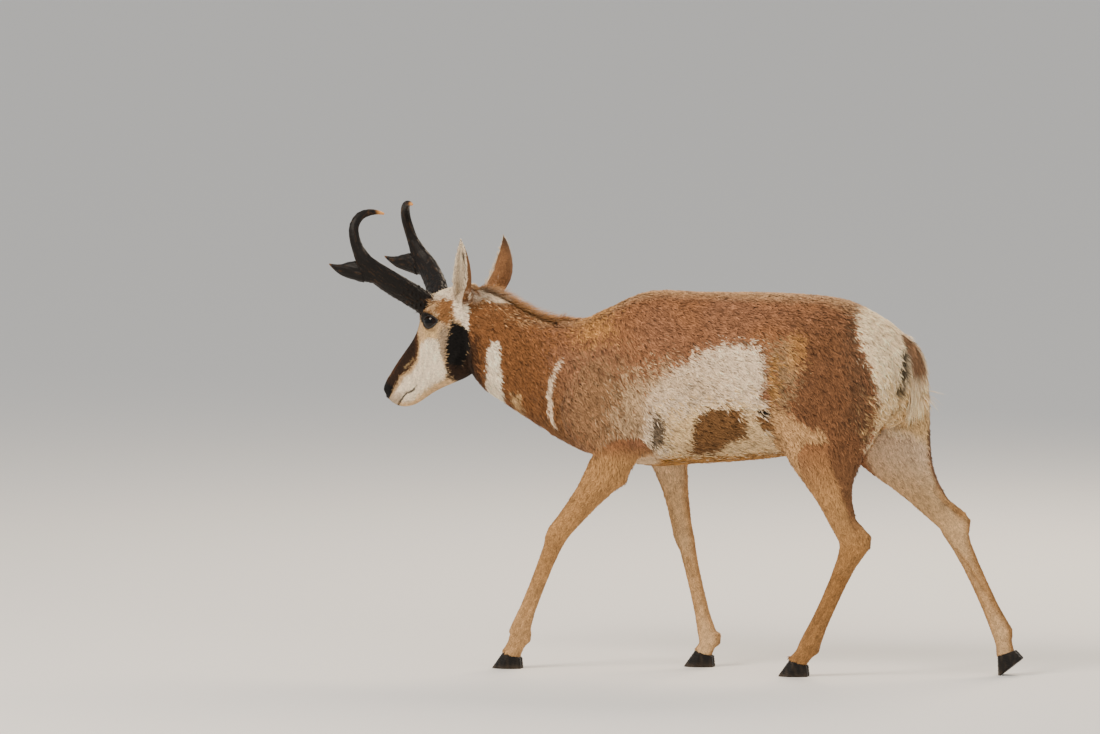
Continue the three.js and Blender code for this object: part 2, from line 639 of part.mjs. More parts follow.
// Shoulder and upper arm, as sections down to the elbow: x and z from the elbow, reach to front and back, half width.
const SHOULDER = [
  { x: -10, z: 318, y: 62, front: 20, back: 22, half: 12 },
  { x: -22, z: 286, y: 74, front: 48, back: 46, half: 28 },
  { x: -40, z: 214, y: 86, front: 74, back: 70, half: 42 },
  { x: -62, z: 130, y: 94, front: 92, back: 86, half: 48 },
  { x: -52, z: 62, y: 97, front: 88, back: 78, half: 46 },
  { x: -26, z: 14, y: 96, front: 70, back: 62, half: 40 },
];
const FOREARM = [
  { bone: 0, t: 0.16, front: 68, back: 46, half: 35 },
  { bone: 0, t: 0.32, front: 55, back: 36, half: 31 },
  { bone: 0, t: 0.5, front: 43, back: 29, half: 26 },
  { bone: 0, t: 0.68, front: 37, back: 25, half: 22.5 },
  { bone: 0, t: 0.84, front: 34, back: 22, half: 21 },
  { bone: 0, t: 0.94, front: 33, back: 22, half: 23 },
  { bone: 1, t: 0.02, front: 29, back: 23, half: 23.5 },
  { bone: 1, t: 0.1, front: 24, back: 20, half: 20 },
  { bone: 1, t: 0.24, front: 23, back: 17, half: 16.5 },
  { bone: 1, t: 0.5, front: 23, back: 15, half: 15.5 },
  { bone: 1, t: 0.74, front: 25, back: 15, half: 16.5 },
  { bone: 1, t: 0.9, front: 29, back: 19, half: 20.5 },
  { bone: 1, t: 1.0, front: 30, back: 22, half: 22 },
];

// Thigh and lower thigh: share of the way from hip to hock, how far the middle bows forward, reach to front and back,
// how far out it lies, half width, and how much the section tips.
const THIGH = [
  { t: -0.2, bow: 0, front: 26, back: 22, y: 58, half: 14, tip: 0 },
  { t: -0.1, bow: 4, front: 86, back: 78, y: 66, half: 42, tip: 0 },
  { t: 0.05, bow: 22, front: 138, back: 128, y: 76, half: 62, tip: 0 },
  { t: 0.22, bow: 36, front: 158, back: 146, y: 84, half: 66, tip: 2 },
  { t: 0.36, bow: 52, front: 137, back: 126, y: 88, half: 60, tip: 5 },
  { t: 0.48, bow: 64, front: 109, back: 102, y: 90, half: 50, tip: 9 },
  { t: 0.6, bow: 68, front: 82, back: 78, y: 88, half: 40, tip: 14 },
  { t: 0.7, bow: 56, front: 63, back: 62, y: 86, half: 33, tip: 19 },
  { t: 0.8, bow: 36, front: 54, back: 52, y: 84, half: 27, tip: 24 },
];
const HIND_CANNON = [
  { bone: 0, t: 0.9, front: 30, back: 54, half: 24 },
  { bone: 0, t: 0.975, front: 33, back: 50, half: 24 },
  { bone: 1, t: 0.05, front: 31, back: 36, half: 24.5 },
  { bone: 1, t: 0.16, front: 26, back: 27, half: 21 },
  { bone: 1, t: 0.34, front: 22, back: 24, half: 17 },
  { bone: 1, t: 0.56, front: 21, back: 23, half: 15.5 },
  { bone: 1, t: 0.76, front: 22, back: 23, half: 17 },
  { bone: 1, t: 0.91, front: 25, back: 26, half: 21 },
  { bone: 1, t: 1.0, front: 26, back: 27, half: 22 },
];

// Pastern, from the fetlock (share 0) to the claws (share 1).
const PASTERN = [
  { t: -0.5, front: 20, back: 18, half: 17 },
  { t: 0, front: 25, back: 26, half: 22 },
  { t: 0.4, front: 21, back: 22, half: 21 },
  { t: 0.75, front: 22, back: 21, half: 23 },
  { t: 1.2, front: 27, back: 24, half: 26 },
];

function foreleg(leg) {
  const { side, elbow, carpus, fetlock, girth } = leg;
  const ys = [side * 95, side * 86, side * FOOT_HALF_TRACK];
  const top = smoothRows(SHOULDER, 2).map((row) =>
    ring({
      at: vec(elbow[0] + row.x, side * row.y, elbow[1] + row.z),
      across: LATERAL,
      rise: vec(-1, 0, 0),
      half: row.half,
      top: row.front,
      bottom: row.back,
      square: 0.95,
      sides: LEG_SIDES,
    }),
  );
  const rings = [...top, ...legRings([elbow, carpus, fetlock], ys, FOREARM, girth)];
  const whole = loft(rings);
  const room = loft(rings, GAP);
  const down = inPlane(elbow, carpus);
  const onForearm = (t) => vec(elbow[0], 0, elbow[1]).lerp(vec(carpus[0], 0, carpus[1]), t);
  // the upper cut lies flatter than the forearm's own section, so that it stays clear of the breast
  const [lower, upper] = cutAt(whole, onForearm(0.12), down.clone().addScaledVector(UP, -1.4));
  const [shank, forearm] = cutAt(lower, onForearm(0.86), down);
  return { upper, middle: forearm, cannon: shank, room };
}

function hindleg(leg) {
  const { side, hock, fetlock, girth, bow, rump } = leg;
  const run = inPlane(HIP, hock);
  const length = Math.hypot(hock[0] - HIP[0], hock[1] - HIP[1]);
  const front = frontOf(run);
  const along = (t, y = 0) => vec(HIP[0], y, HIP[1]).addScaledVector(run, t * length);
  const top = smoothRows(THIGH, 2).map((row) => {
    const tip = THREE.MathUtils.degToRad(row.tip);
    const rise = front.clone().multiplyScalar(Math.cos(tip)).addScaledVector(run, -Math.sin(tip));
    return ring({
      at: along(row.t, side * row.y).addScaledVector(front, row.bow * bow),
      across: LATERAL,
      rise,
      half: row.half,
      top: row.front,
      bottom: row.back * rump,
      square: 0.92,
      sides: LEG_SIDES,
    });
  });
  const stifle = along(0.5).addScaledVector(front, 66 * bow);
  const joints = [[stifle.x, stifle.z], hock, fetlock];
  const ys = [side * 88, side * 82, side * FOOT_HALF_TRACK];
  const rings = [...top, ...legRings(joints, ys, HIND_CANNON, girth)];
  const whole = loft(rings);
  const room = loft(rings, GAP);
  const [lower, upper] = cutAt(whole, along(0.5), run.clone().addScaledVector(front, 0.16));
  const down = inPlane(joints[0], hock);
  const hockPoint = vec(hock[0], 0, hock[1]).addScaledVector(down, -56);
  const [shank, gaskin] = cutAt(lower, hockPoint, down);
  return { upper, middle: gaskin, cannon: shank, room };
}

// Foot: a pastern down to the hair line, and two pointed claws. In its own frame the tip of the toe is at the origin,
// x runs to the heel, and the sole is at z = 0.
const FOOT = {
  long: 74,
  high: 48,
  claw: 25,
  cleft: 2.4,
  wallLean: 0.72,
  heelLean: 0.12,
  crown: 40,
  crownFall: 0.36,
};
const CLAW_SIDES = 9;

function clawSolid(side) {
  const rings = [0, 0.4, 1].map((share) => {
    const z = share * FOOT.high;
    const toe = z * FOOT.wallLean;
    const heel = FOOT.long - z * FOOT.heelLean;
    const width = FOOT.claw * (1 - 0.14 * share);
    const points = [];
    for (let i = 0; i < CLAW_SIDES; i++) {
      const angle = (2 * Math.PI * i) / CLAW_SIDES;
      const along = (1 - Math.cos(angle)) / 2;
      const fullness = Math.sin(Math.PI * (0.02 + 0.84 * along) ** 0.7) ** 0.7;
      const y = width * fullness * (Math.sin(angle) > -0.01 ? 1 : 0.04);
      points.push(vec(toe + along * (heel - toe), side * (FOOT.cleft / 2 + y), z));
    }
    return points;
  });
  return loft(rings);
}

// The two claws of a foot, cut at the hair line, and the cannon and pastern that stand on them.
function footPieces(leg, cannon) {
  const { side, fetlock, toe, girth } = leg;
  const lifted = leg === LEGS.hind_right;
  const place = new THREE.Matrix4().makeTranslation(toe, side * FOOT_HALF_TRACK, 0);
  // a lifted heel rolls the claws onto their toes, which are worn flat where they stand
  if (lifted) place.multiply(new THREE.Matrix4().makeTranslation(0, 0, -TOE_WEAR).multiply(HEEL_UP));
  const hairLine = vec(FOOT.crown * FOOT.wallLean, 0, FOOT.crown).applyMatrix4(place);
  const lean = vec(FOOT.crownFall, 0, 1).transformDirection(place);
  const claws = [1, -1].map((which) => {
    const low = cutAt(clawSolid(which).transform(place.elements), hairLine, lean)[1];
    return lifted ? low.trimByPlane([0, 0, 1], 0) : low;
  });
  const coronet = vec(FOOT.long * 0.62, 0, FOOT.crown * 0.78).applyMatrix4(place);
  const joint = vec(fetlock[0], side * FOOT_HALF_TRACK, fetlock[1]);
  const reach = coronet.clone().sub(joint);
  const run = reach.clone().normalize();
  const rings = smoothRows(PASTERN, 2).map((row) =>
    ring({
      at: joint.clone().addScaledVector(reach, row.t),
      across: LATERAL,
      rise: frontOf(run),
      half: row.half * girth ** 0.5,
      top: row.front * girth ** 0.5,
      bottom: row.back * girth ** 0.5,
      square: 0.9,
      sides: LEG_SIDES,
    }),
  );
  const shank = cutAt(unite([cannon, loft(rings)]), hairLine, lean)[0];
  const [pastern, bone] = cutAt(shank, joint.clone().addScaledVector(run, 12), run);
  return { pastern, claws, cannon: bone };
}

// Put the animal together, then part it with thin cuts where its parts are named.
const model = new THREE.Group();

function addNode(name, solid, material) {
  const mesh = largest(solid).getMesh();
  const positions = new Float32Array(mesh.numVert * 3);
  for (let i = 0; i < mesh.numVert; i++) {
    positions.set(mesh.vertProperties.subarray(i * mesh.numProp, i * mesh.numProp + 3), i * 3);
  }
  const geometry = new THREE.BufferGeometry();
  geometry.setAttribute("position", new THREE.BufferAttribute(positions, 3));
  geometry.setIndex(new THREE.BufferAttribute(mesh.triVerts, 1));
  geometry.computeVertexNormals();
  const node = new THREE.Mesh(geometry, material);
  node.name = name;
  model.add(node);
}

const trunk = loft(trunkRings());
const trunkRoom = loft(trunkRings(), GAP);
const neckWhole = loft(neckRings());
const neckRoom = loft(neckRings(), GAP);

const legParts = {};
Object.entries(LEGS).forEach(([name, leg]) => {
  const limb = name.startsWith("hind") ? hindleg(leg) : foreleg(leg);
  legParts[name] = { ...limb, ...footPieces(leg, limb.cannon) };
});

// The head parts from the neck behind the jaw, and the neck from the trunk in front of the shoulders.
const headCut = { at: vec(-652, 24, 790), normal: vec(-0.985, 0.17, -0.05) };
const neckCut = { at: vec(-436, 0, 690), normal: vec(-0.958, 0, 0.287) };
const bodyWhole = unite([trunk, neckWhole, ...Object.values(legParts).map((parts) => parts.upper)]);
const [frontEnd, rearEnd] = cutAt(bodyWhole, neckCut.at, neckCut.normal);
const [headPart] = cutAt(headSolid(neckWhole), headCut.at, headCut.normal);
const [, neckPart] = cutAt(unite([frontEnd, headLoft(), ...maneLocks()]), headCut.at, headCut.normal);
const [neckClear] = cutAt(neckPart, neckCut.at, neckCut.normal);
const hornSockets = [1, -1].map((side) => branch(SHAFT, side, { grow: GAP }));
addNode("head", headPart.subtract(unite(hornSockets)), fur);
addNode("neck", neckClear, fur);

// Shoulders and haunches come off the trunk along their own outlines, down to a flat seat.
const SHOULDER_OUTLINE = [
  [-452, 520],
  [-404, 448],
  [-180, 420],
  [-128, 520],
  [-148, 650],
  [-206, 762],
  [-292, 796],
  [-392, 752],
];
const THIGH_OUTLINE = [
  [112, 470],
  [250, 380],
  [520, 380],
  [560, 560],
  [452, 640],
  [400, 762],
  [318, 812],
  [206, 778],
  [128, 640],
];
const SEATS = {
  shoulder: { seat: 64, outline: SHOULDER_OUTLINE },
  thigh: { seat: 56, outline: THIGH_OUTLINE },
};

// A block that stands on the seat and has the outline, grown by the gap where it makes room.
function seatBlock({ seat, outline }, side, grow = 0) {
  const shape = new THREE.Shape(
    outline.map(([x, z], i) => {
      const before = new THREE.Vector2(...outline[(i + outline.length - 1) % outline.length]);
      const after = new THREE.Vector2(...outline[(i + 1) % outline.length]);
      const way = after.sub(before).normalize();
      return new THREE.Vector2(x + way.y * grow, z - way.x * grow);
    }),
  );
  const geometry = new THREE.ExtrudeGeometry(shape, { depth: 200 + grow, bevelEnabled: false });
  const stand = new THREE.Matrix4().makeBasis(vec(1, 0, 0), UP, vec(0, side, 0));
  stand.setPosition(0, side * (seat - grow), 0);
  return solidOfGeometry(geometry, stand);
}

let torso = rearEnd;
Object.entries(SEATS).forEach(([name, spec]) => {
  ["left", "right"].forEach((word) => {
    const side = word === "left" ? -1 : 1;
    addNode(`${name}_${word}`, rearEnd.intersect(seatBlock(spec, side)), fur);
    torso = torso.subtract(seatBlock(spec, side, GAP));
  });
});
addNode("torso", torso, fur);
const haunchRooms = [legParts.hind_left.room, legParts.hind_right.room];
addNode("tail", tailSolid().subtract(unite([trunkRoom, ...haunchRooms])), paleFur);

Object.entries(legParts).forEach(([name, parts]) => {
  const middle = name.startsWith("hind") ? "gaskin" : "forearm";
  addNode(`${name}_${middle}`, parts.middle.subtract(trunkRoom), fur);
  addNode(`${name}_cannon`, parts.cannon, fur);
  addNode(`${name}_pastern`, parts.pastern, fur);
  parts.claws.forEach((claw, i) => addNode(`${name}_claw_${i + 1}`, claw, hoofKeratin));
});

[1, -1].forEach((side) => {
  const word = side > 0 ? "left" : "right";
  addNode(`eye_${word}`, eyeSphere(side, EYE.radius), wetEye);
  addNode(`ear_${word}`, earSolid(side).subtract(unite([headLoft(GAP), neckRoom])), earFur);
  const horn = hornPieces(side);
  addNode(`horn_${word}_shaft`, horn.shaft, hornKeratin);
  addNode(`horn_${word}_prong`, horn.prong, hornKeratin);
  addNode(`horn_${word}_hook`, horn.hook, hornKeratin);
});

// The origin is on the floor under the middle of the whole animal.
const reach = new THREE.Box3().setFromObject(model);
model.position.set(-(reach.min.x + reach.max.x) / 2, -(reach.min.y + reach.max.y) / 2, -reach.min.z);

export default model;
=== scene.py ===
"""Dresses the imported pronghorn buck: one skin over its flesh, its coat, mane, eyes, lids, horns and hooves.

Lengths are in millimetres unless a name says metres. Places are in the model's frame: the animal faces
-X, its left side is -Y, Z = 0 is the floor, and the middle of its trunk is at Y = 0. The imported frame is
this one, moved.
"""

import math

import bpy
import numpy as np
from bpy.props import FloatProperty, FloatVectorProperty, IntProperty, PointerProperty
from mathutils import Matrix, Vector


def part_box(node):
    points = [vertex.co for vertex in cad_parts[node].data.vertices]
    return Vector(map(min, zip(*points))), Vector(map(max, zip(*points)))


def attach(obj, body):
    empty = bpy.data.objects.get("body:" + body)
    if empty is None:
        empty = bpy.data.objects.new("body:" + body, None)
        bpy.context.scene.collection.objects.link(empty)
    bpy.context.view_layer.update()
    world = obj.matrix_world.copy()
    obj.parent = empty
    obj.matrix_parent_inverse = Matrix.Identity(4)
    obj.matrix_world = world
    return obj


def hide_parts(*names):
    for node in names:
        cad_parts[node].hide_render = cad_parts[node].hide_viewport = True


bl_info = {
    "name": "Pronghorn buck",
    "version": (1, 0, 0),
    "blender": (4, 5, 0),
    "location": "3D View > Sidebar > Pronghorn",
    "description": "Dresses the packed solids of a pronghorn buck in skin, coat, eyes, horns and hooves",
    "category": "Object",
}

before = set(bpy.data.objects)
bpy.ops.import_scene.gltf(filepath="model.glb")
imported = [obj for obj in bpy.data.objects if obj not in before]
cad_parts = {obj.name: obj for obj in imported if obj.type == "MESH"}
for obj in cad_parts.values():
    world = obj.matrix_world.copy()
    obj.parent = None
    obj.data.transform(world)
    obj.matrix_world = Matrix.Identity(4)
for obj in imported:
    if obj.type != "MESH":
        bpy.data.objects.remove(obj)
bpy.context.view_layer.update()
MM = 0.001

# Where the model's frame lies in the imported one: the toe tip and the trunk's middle are known in both
TOE_TIP_X = -582.0
TRUNK_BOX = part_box("torso")
SHIFT = np.array([
    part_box("fore_left_claw_1")[0].x / MM - TOE_TIP_X,
    (TRUNK_BOX[0].y + TRUNK_BOX[1].y) / 2 / MM,
    0.0,
])

SIDES = {"left": -1.0, "right": 1.0}
LEG_NAMES = ("fore_left", "fore_right", "hind_left", "hind_right")
FLESH = (
    ["head", "neck", "torso", "tail"]
    + [f"{part}_{side}" for part in ("shoulder", "thigh", "ear") for side in SIDES]
    + [f"{leg}_{part}" for leg in LEG_NAMES for part in ("cannon", "pastern")]
    + ["fore_left_forearm", "fore_right_forearm", "hind_left_gaskin", "hind_right_gaskin"]
)

# The head's own axes, as the solids have them
HEAD_TURN = math.radians(10)
HEAD_SLOPE = math.radians(53.3)
HEAD_PLACE = np.array([-681.0, 25.0, 859.0])
LEVEL_FORWARD = np.array([-math.cos(HEAD_TURN), math.sin(HEAD_TURN), 0.0])
HEAD_LEFT = np.array([-math.sin(HEAD_TURN), -math.cos(HEAD_TURN), 0.0])
WORLD_UP = np.array([0.0, 0.0, 1.0])
HEAD_FORWARD = math.cos(HEAD_SLOPE) * LEVEL_FORWARD - math.sin(HEAD_SLOPE) * WORLD_UP
HEAD_UP = np.cross(HEAD_FORWARD, HEAD_LEFT)


def on_face(forward, left, up):
    """A place along the face, to the animal's left and towards the brow, from the ear line."""
    return HEAD_PLACE + forward * HEAD_FORWARD + left * HEAD_LEFT + up * HEAD_UP


def level_place(forward, left, up):
    """A place level to the front, to the left and upward from the ear line."""
    return HEAD_PLACE + forward * LEVEL_FORWARD + left * HEAD_LEFT + up * WORLD_UP


def face_coordinates(points):
    """Each point as forward along the face, to the animal's left, and up to the brow."""
    away = points - HEAD_PLACE
    return np.stack([away @ HEAD_FORWARD, away @ HEAD_LEFT, away @ HEAD_UP], axis=-1)


# Small tools for numbers, colours and meshes


def linear(code):
    """An sRGB hex colour as linear red, green and blue."""
    values = [int(code[i:i + 2], 16) / 255 for i in (1, 3, 5)]
    return tuple(v / 12.92 if v <= 0.04045 else ((v + 0.055) / 1.055) ** 2.4 for v in values)


def unit(vectors):
    """The same directions with length one."""
    vectors = np.asarray(vectors, float)
    return vectors / np.maximum(np.linalg.norm(vectors, axis=-1, keepdims=True), 1e-9)


def smoothstep(low, high, value):
    """0 below low, 1 above high, and a soft curve between."""
    t = np.clip((value - low) / (high - low), 0.0, 1.0)
    return t * t * (3 - 2 * t)


def ripple(points, size, seed):
    """A soft, seeded unevenness between about -1 and 1, with swells of the given size."""
    draw = np.random.default_rng(seed)
    total = np.zeros(len(points))
    for _ in range(7):
        wave = unit(draw.normal(size=3)) * (2 * math.pi / size) * draw.uniform(0.6, 1.5)
        total += np.sin(points @ wave + draw.uniform(0, 2 * math.pi))
    return total / 3.0


def along_line(points, start, end):
    """How far each point is from the line between two places, and its share of the way."""
    start = np.asarray(start, float)
    run = np.asarray(end, float) - start
    share = np.clip(((points - start) @ run) / max(run @ run, 1e-9), 0.0, 1.0)
    away = np.linalg.norm(points - start - share[:, None] * run, axis=1)
    return away, share


def inside_depth(flat, outline):
    """How deep each flat point lies inside an outline, and below zero how far outside."""
    corners = np.asarray(outline, float)
    nearest = np.full(len(flat), 1e9)
    inside = np.zeros(len(flat), bool)
    for a, b in zip(corners, np.roll(corners, -1, axis=0)):
        run = b - a
        share = np.clip(((flat - a) @ run) / (run @ run), 0.0, 1.0)
        nearest = np.minimum(nearest, np.linalg.norm(flat - a - share[:, None] * run, axis=1))
        crosses = (a[1] > flat[:, 1]) != (b[1] > flat[:, 1])
        level = np.where(crosses, (flat[:, 1] - a[1]) / (b[1] - a[1] + 1e-12), 0.0)
        inside ^= crosses & (flat[:, 0] < a[0] + level * run[0])
    return np.where(inside, nearest, -nearest)


def read_points(mesh):
    """A mesh's points in the model's frame."""
    values = np.empty(len(mesh.vertices) * 3, np.float32)
    mesh.vertices.foreach_get("co", values)
    return values.reshape(-1, 3).astype(float) / MM - SHIFT


def write_points(mesh, points):
    """Moves a mesh's points to places in the model's frame."""
    values = ((points + SHIFT) * MM).astype(np.float32)
    mesh.vertices.foreach_set("co", values.ravel())
    mesh.update()


def read_normals(mesh):
    """The smooth normal at each point of a mesh."""
    values = np.empty(len(mesh.vertices) * 3, np.float32)
    mesh.vertex_normals.foreach_get("vector", values)
    return values.reshape(-1, 3).astype(float)


def mesh_from(name, points, faces):
    """A new smooth object from places in the model's frame and faces with one count of corners."""
    faces = np.asarray(faces, np.int32)
    mesh = bpy.data.meshes.new(name)
    mesh.vertices.add(len(points))
    mesh.loops.add(faces.size)
    mesh.polygons.add(len(faces))
    mesh.loops.foreach_set("vertex_index", faces.ravel())
    mesh.polygons.foreach_set("loop_start", np.arange(len(faces), dtype=np.int32) * faces.shape[1])
    write_points(mesh, np.asarray(points, float))
    mesh.update(calc_edges=True)
    mesh.validate()
    mesh.polygons.foreach_set("use_smooth", np.ones(len(mesh.polygons), bool))
    piece = bpy.data.objects.new(name, mesh)
    bpy.context.scene.collection.objects.link(piece)
    return piece


def paint(mesh, name, colours):
    """Stores a linear colour at each point under a name that the materials read."""
    values = np.ones((len(colours), 4), np.float32)
    values[:, :3] = colours
    layer = mesh.color_attributes.new(name, "FLOAT_COLOR", "POINT")
    layer.data.foreach_set("color", values.ravel())


def store(mesh, name, numbers):
    """Stores a number at each point under a name that the materials read."""
    layer = mesh.attributes.new(name, "FLOAT", "POINT")
    layer.data.foreach_set("value", np.asarray(numbers, np.float32))


def use_modifier(piece, kind, **settings):
    """Adds a modifier with its settings and applies it."""
    modifier = piece.modifiers.new(kind.title(), kind)
    for key, value in settings.items():
        setattr(modifier, key, value)
    with bpy.context.temp_override(object=piece, active_object=piece, selected_objects=[piece]):
        bpy.ops.object.modifier_apply(modifier=modifier.name)


def join_nodes(name, nodes):
    """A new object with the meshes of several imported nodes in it."""
    points = []
    faces = []
    count = 0
    for node in nodes:
        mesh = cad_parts[node].data
        mesh.calc_loop_triangles()
        corners = np.empty(len(mesh.loop_triangles) * 3, np.int32)
        mesh.loop_triangles.foreach_get("vertices", corners)
        points.append(read_points(mesh))
        faces.append(corners.reshape(-1, 3) + count)
        count += len(mesh.vertices)
    return mesh_from(name, np.concatenate(points), np.concatenate(faces))


def remesh(piece, size):
    """Rebuilds a joined object as one even surface of the given grain."""
    use_modifier(piece, "REMESH", mode="VOXEL", voxel_size=size * MM, adaptivity=0.0, use_smooth_shade=True)


def weight_group(piece, name, weights):
    """A vertex group with each point's weight, in tenths."""
    group = piece.vertex_groups.new(name=name)
    for level in range(1, 11):
        chosen = np.nonzero(np.round(weights * 10).astype(int) == level)[0]
        group.add(chosen.tolist(), level / 10, "REPLACE")
    return group.name


def relax(piece, rounds, weights=None):
    """Smooths a surface, by as much at each point as its weight says."""
    settings = {"factor": 0.5, "iterations": rounds}
    if weights is not None:
        settings["vertex_group"] = weight_group(piece, "relax", weights)
    use_modifier(piece, "SMOOTH", **settings)
    piece.vertex_groups.clear()


def dress(piece, material, nodes=()):
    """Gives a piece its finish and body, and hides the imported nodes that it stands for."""
    piece.data.materials.clear()
    piece.data.materials.append(material)
    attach(piece, "root")
    if nodes:
        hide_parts(*nodes)


def add_node(tree, kind, settings=None, **links):
    """Adds a shader node with its properties and sockets, and links its named sockets to outputs."""
    node = tree.nodes.new(kind)
    for key, value in (settings or {}).items():
        if hasattr(node, key):
            setattr(node, key, value)
        else:
            node.inputs[key].default_value = value
    for key, source in links.items():
        tree.links.new(source, node.inputs[key.replace("_", " ")])
    return node


def new_material(name, **sockets):
    """A material with one Principled shader whose plain sockets are set, and its tree and shader."""
    material = bpy.data.materials.new(name)
    material.use_nodes = True
    tree = material.node_tree
    shader = tree.nodes["Principled BSDF"]
    for key, value in sockets.items():
        shader.inputs[key.replace("_", " ")].default_value = value
    return material, tree, shader


# How far the feet, and the legs' top joints, stand from the animal's middle
FOOT_TRACK = 76
TOP_TRACK = {"fore": 95, "hind": 88}
# The legs' joints in the walking pose: x and z, from the top down
JOINTS = {
    "fore_left": [(-258, 506), (-424, 310), (-515, 78), (-545, 40)],
    "fore_right": [(-196, 538), (-153, 300), (-92, 68), (-112, 36)],
    "hind_left": [(222, 530), (291, 304), (184, 70), (150, 36)],
    "hind_right": [(352, 528), (497, 336), (611, 104), (625, 60)],
}


def leg_place(leg, joint, up=0.0, ahead=0.0, out=0.0):
    """A place by a joint of a leg, moved up, to the front and outward."""
    side = -1.0 if leg.endswith("left") else 1.0
    x, z = JOINTS[leg][joint]
    track = (TOP_TRACK[leg[:4]], FOOT_TRACK + 8, FOOT_TRACK, FOOT_TRACK)[joint]
    return np.array([x - ahead, side * (track + out), z + up])


# The ears, as the solids have them: span from root to tip, bow of the middle, and the way that the cup opens
EARS = {
    1.0: {"span": (-16, 54, 175), "bend": (-8, 20, 0), "cup": (0.4, 1.0, 0.1)},
    -1.0: {"span": (-37, 76, 175), "bend": (-24, 14, -6), "cup": (0.8, 0.6, 0.1)},
}
EAR_ROOT = (-16, 32, -26)
EAR_REACH = 38


def ear_frame(sign):
    """Root, middle and tip of an ear, the way that its cup opens, and the way across it."""
    ear = EARS[sign]
    root = np.array(EAR_ROOT, float)
    middle = root + 0.5 * np.array(ear["span"]) + ear["bend"]
    ends = [level_place(place[0], sign * place[1], place[2]) for place in (root, middle, root + ear["span"])]
    run = unit(ends[2] - ends[0])
    cup = ear["cup"][0] * LEVEL_FORWARD + sign * ear["cup"][1] * HEAD_LEFT + ear["cup"][2] * WORLD_UP
    cup = unit(cup - (cup @ run) * run)
    return ends, cup, np.cross(run, cup)


def on_ear(points, sign):
    """How far each point is from an ear's middle line, and its share of the way up the ear."""
    (root, middle, tip), _, _ = ear_frame(sign)
    low, low_share = along_line(points, root, middle)
    high, high_share = along_line(points, middle, tip)
    return np.minimum(low, high), np.where(low < high, low_share / 2, 0.5 + high_share / 2)


# The coat by regions


def make_bones():
    """Every region of the coat as a line with the reach of its influence.

    Each says how its hair lies, how long and wide a tuft is, by how many degrees it lifts, and how deep under
    the solids' surface the skin lies.
    """
    def bone(start, end, reach, lie, length, width, lift, depth):
        return {"start": np.asarray(start, float), "end": np.asarray(end, float), "reach": reach,
                "lie": unit(lie), "length": length, "width": width, "lift": lift, "depth": depth}

    bones = [
        bone(on_face(310, 0, 5), on_face(200, 0, -10), 34, -HEAD_FORWARD, 4.5, 1.4, 12, 0.6),
        bone(on_face(180, 0, -20), on_face(40, 0, -20), 55, -HEAD_FORWARD, 6.5, 1.6, 13, 1.2),
        bone(on_face(150, 0, -90), on_face(40, 0, -90), 40, (0.95, 0, -0.1), 8, 1.8, 14, 1.6),
        bone((-660, 24, 840), (-600, 14, 800), 60, (0.86, 0, -0.5), 15, 2.3, 18, 3.2),
        bone((-600, 14, 740), (-470, 0, 690), 85, (0.72, 0, -0.7), 17, 2.6, 19, 4.0),
        bone((-610, 12, 660), (-500, 0, 590), 40, (0.5, 0, -0.86), 21, 3.0, 22, 4.5),
        bone((-455, 0, 610), (-400, 0, 540), 70, (0.35, 0, -0.94), 21, 3.0, 20, 4.5),
        bone((-400, 0, 740), (-200, 0, 690), 140, (0.78, 0, -0.62), 18, 2.8, 18, 4.5),
        bone((-190, 0, 690), (150, 0, 700), 140, (0.9, 0, -0.44), 18, 2.8, 17, 4.5),
        bone((160, 0, 720), (300, 0, 720), 130, (0.84, 0, -0.54), 18, 2.8, 18, 4.5),
        bone((350, 0, 740), (410, 0, 690), 95, (0.4, 0, -0.92), 26, 3.4, 19, 6.0),
        bone((-150, 0, 510), (230, 0, 545), 60, (0.98, 0, -0.1), 22, 3.2, 16, 4.5),
        bone((395, 0, 785), (432, 0, 685), 26, (0.35, 0, -0.94), 34, 4.2, 16, 3.5),
    ]
    for leg in LEG_NAMES:
        top, middle, fetlock, toe = (leg_place(leg, i) for i in range(4))
        if leg.startswith("fore"):
            blade = leg_place(leg, 0, up=260, ahead=30, out=-10)
            bones.append(bone(blade, top, 75, (0.42, 0, -0.9), 17, 2.7, 15, 4.2))
        else:
            haunch = leg_place(leg, 0, up=190, ahead=-40)
            bones.append(bone(haunch, leg_place(leg, 0, up=40), 85, (0.42, 0, -0.9), 17, 2.7, 15, 4.2))
        bones.append(bone(top, (top + middle) / 2, 52, middle - top, 14, 2.5, 12, 2.8))
        bones.append(bone((top + middle) / 2, middle, 36, middle - top, 10, 2.0, 11, 1.6))
        bones.append(bone(middle, fetlock, 28, fetlock - middle, 8, 1.8, 10, 0.9))
        bones.append(bone(fetlock, toe, 24, toe - fetlock, 8, 1.8, 14, 0.8))
    for sign in EARS:
        (_, middle, tip), _, _ = ear_frame(sign)
        above_root = level_place(EAR_ROOT[0], sign * EAR_ROOT[1], 10)
        for start, end in ((above_root, middle), (middle, tip)):
            bones.append(bone(start, end, 22, tip - middle, 5, 1.3, 6, 0.3))
    return bones


BONES = make_bones()
COAT_FIELDS = ("length", "width", "lift", "depth")


def coat_at(points):
    """How the coat is at each point: its lie, and the blended numbers of the regions around it."""
    total = np.full(len(points), 1e-12)
    lie = np.zeros((len(points), 3))
    fields = {key: np.zeros(len(points)) for key in COAT_FIELDS}
    for bone in BONES:
        away, _ = along_line(points, bone["start"], bone["end"])
        weight = np.exp(-((away / bone["reach"]) ** 2) * 1.6) + 1e-10 / (1 + away)
        total += weight
        lie += weight[:, None] * bone["lie"]
        for key in COAT_FIELDS:
            fields[key] += weight * bone[key]
    return unit(lie), {key: value / total for key, value in fields.items()}


# Relief of the skin: bones, muscles, tendons and folds, each a line with a spread and how far it stands out

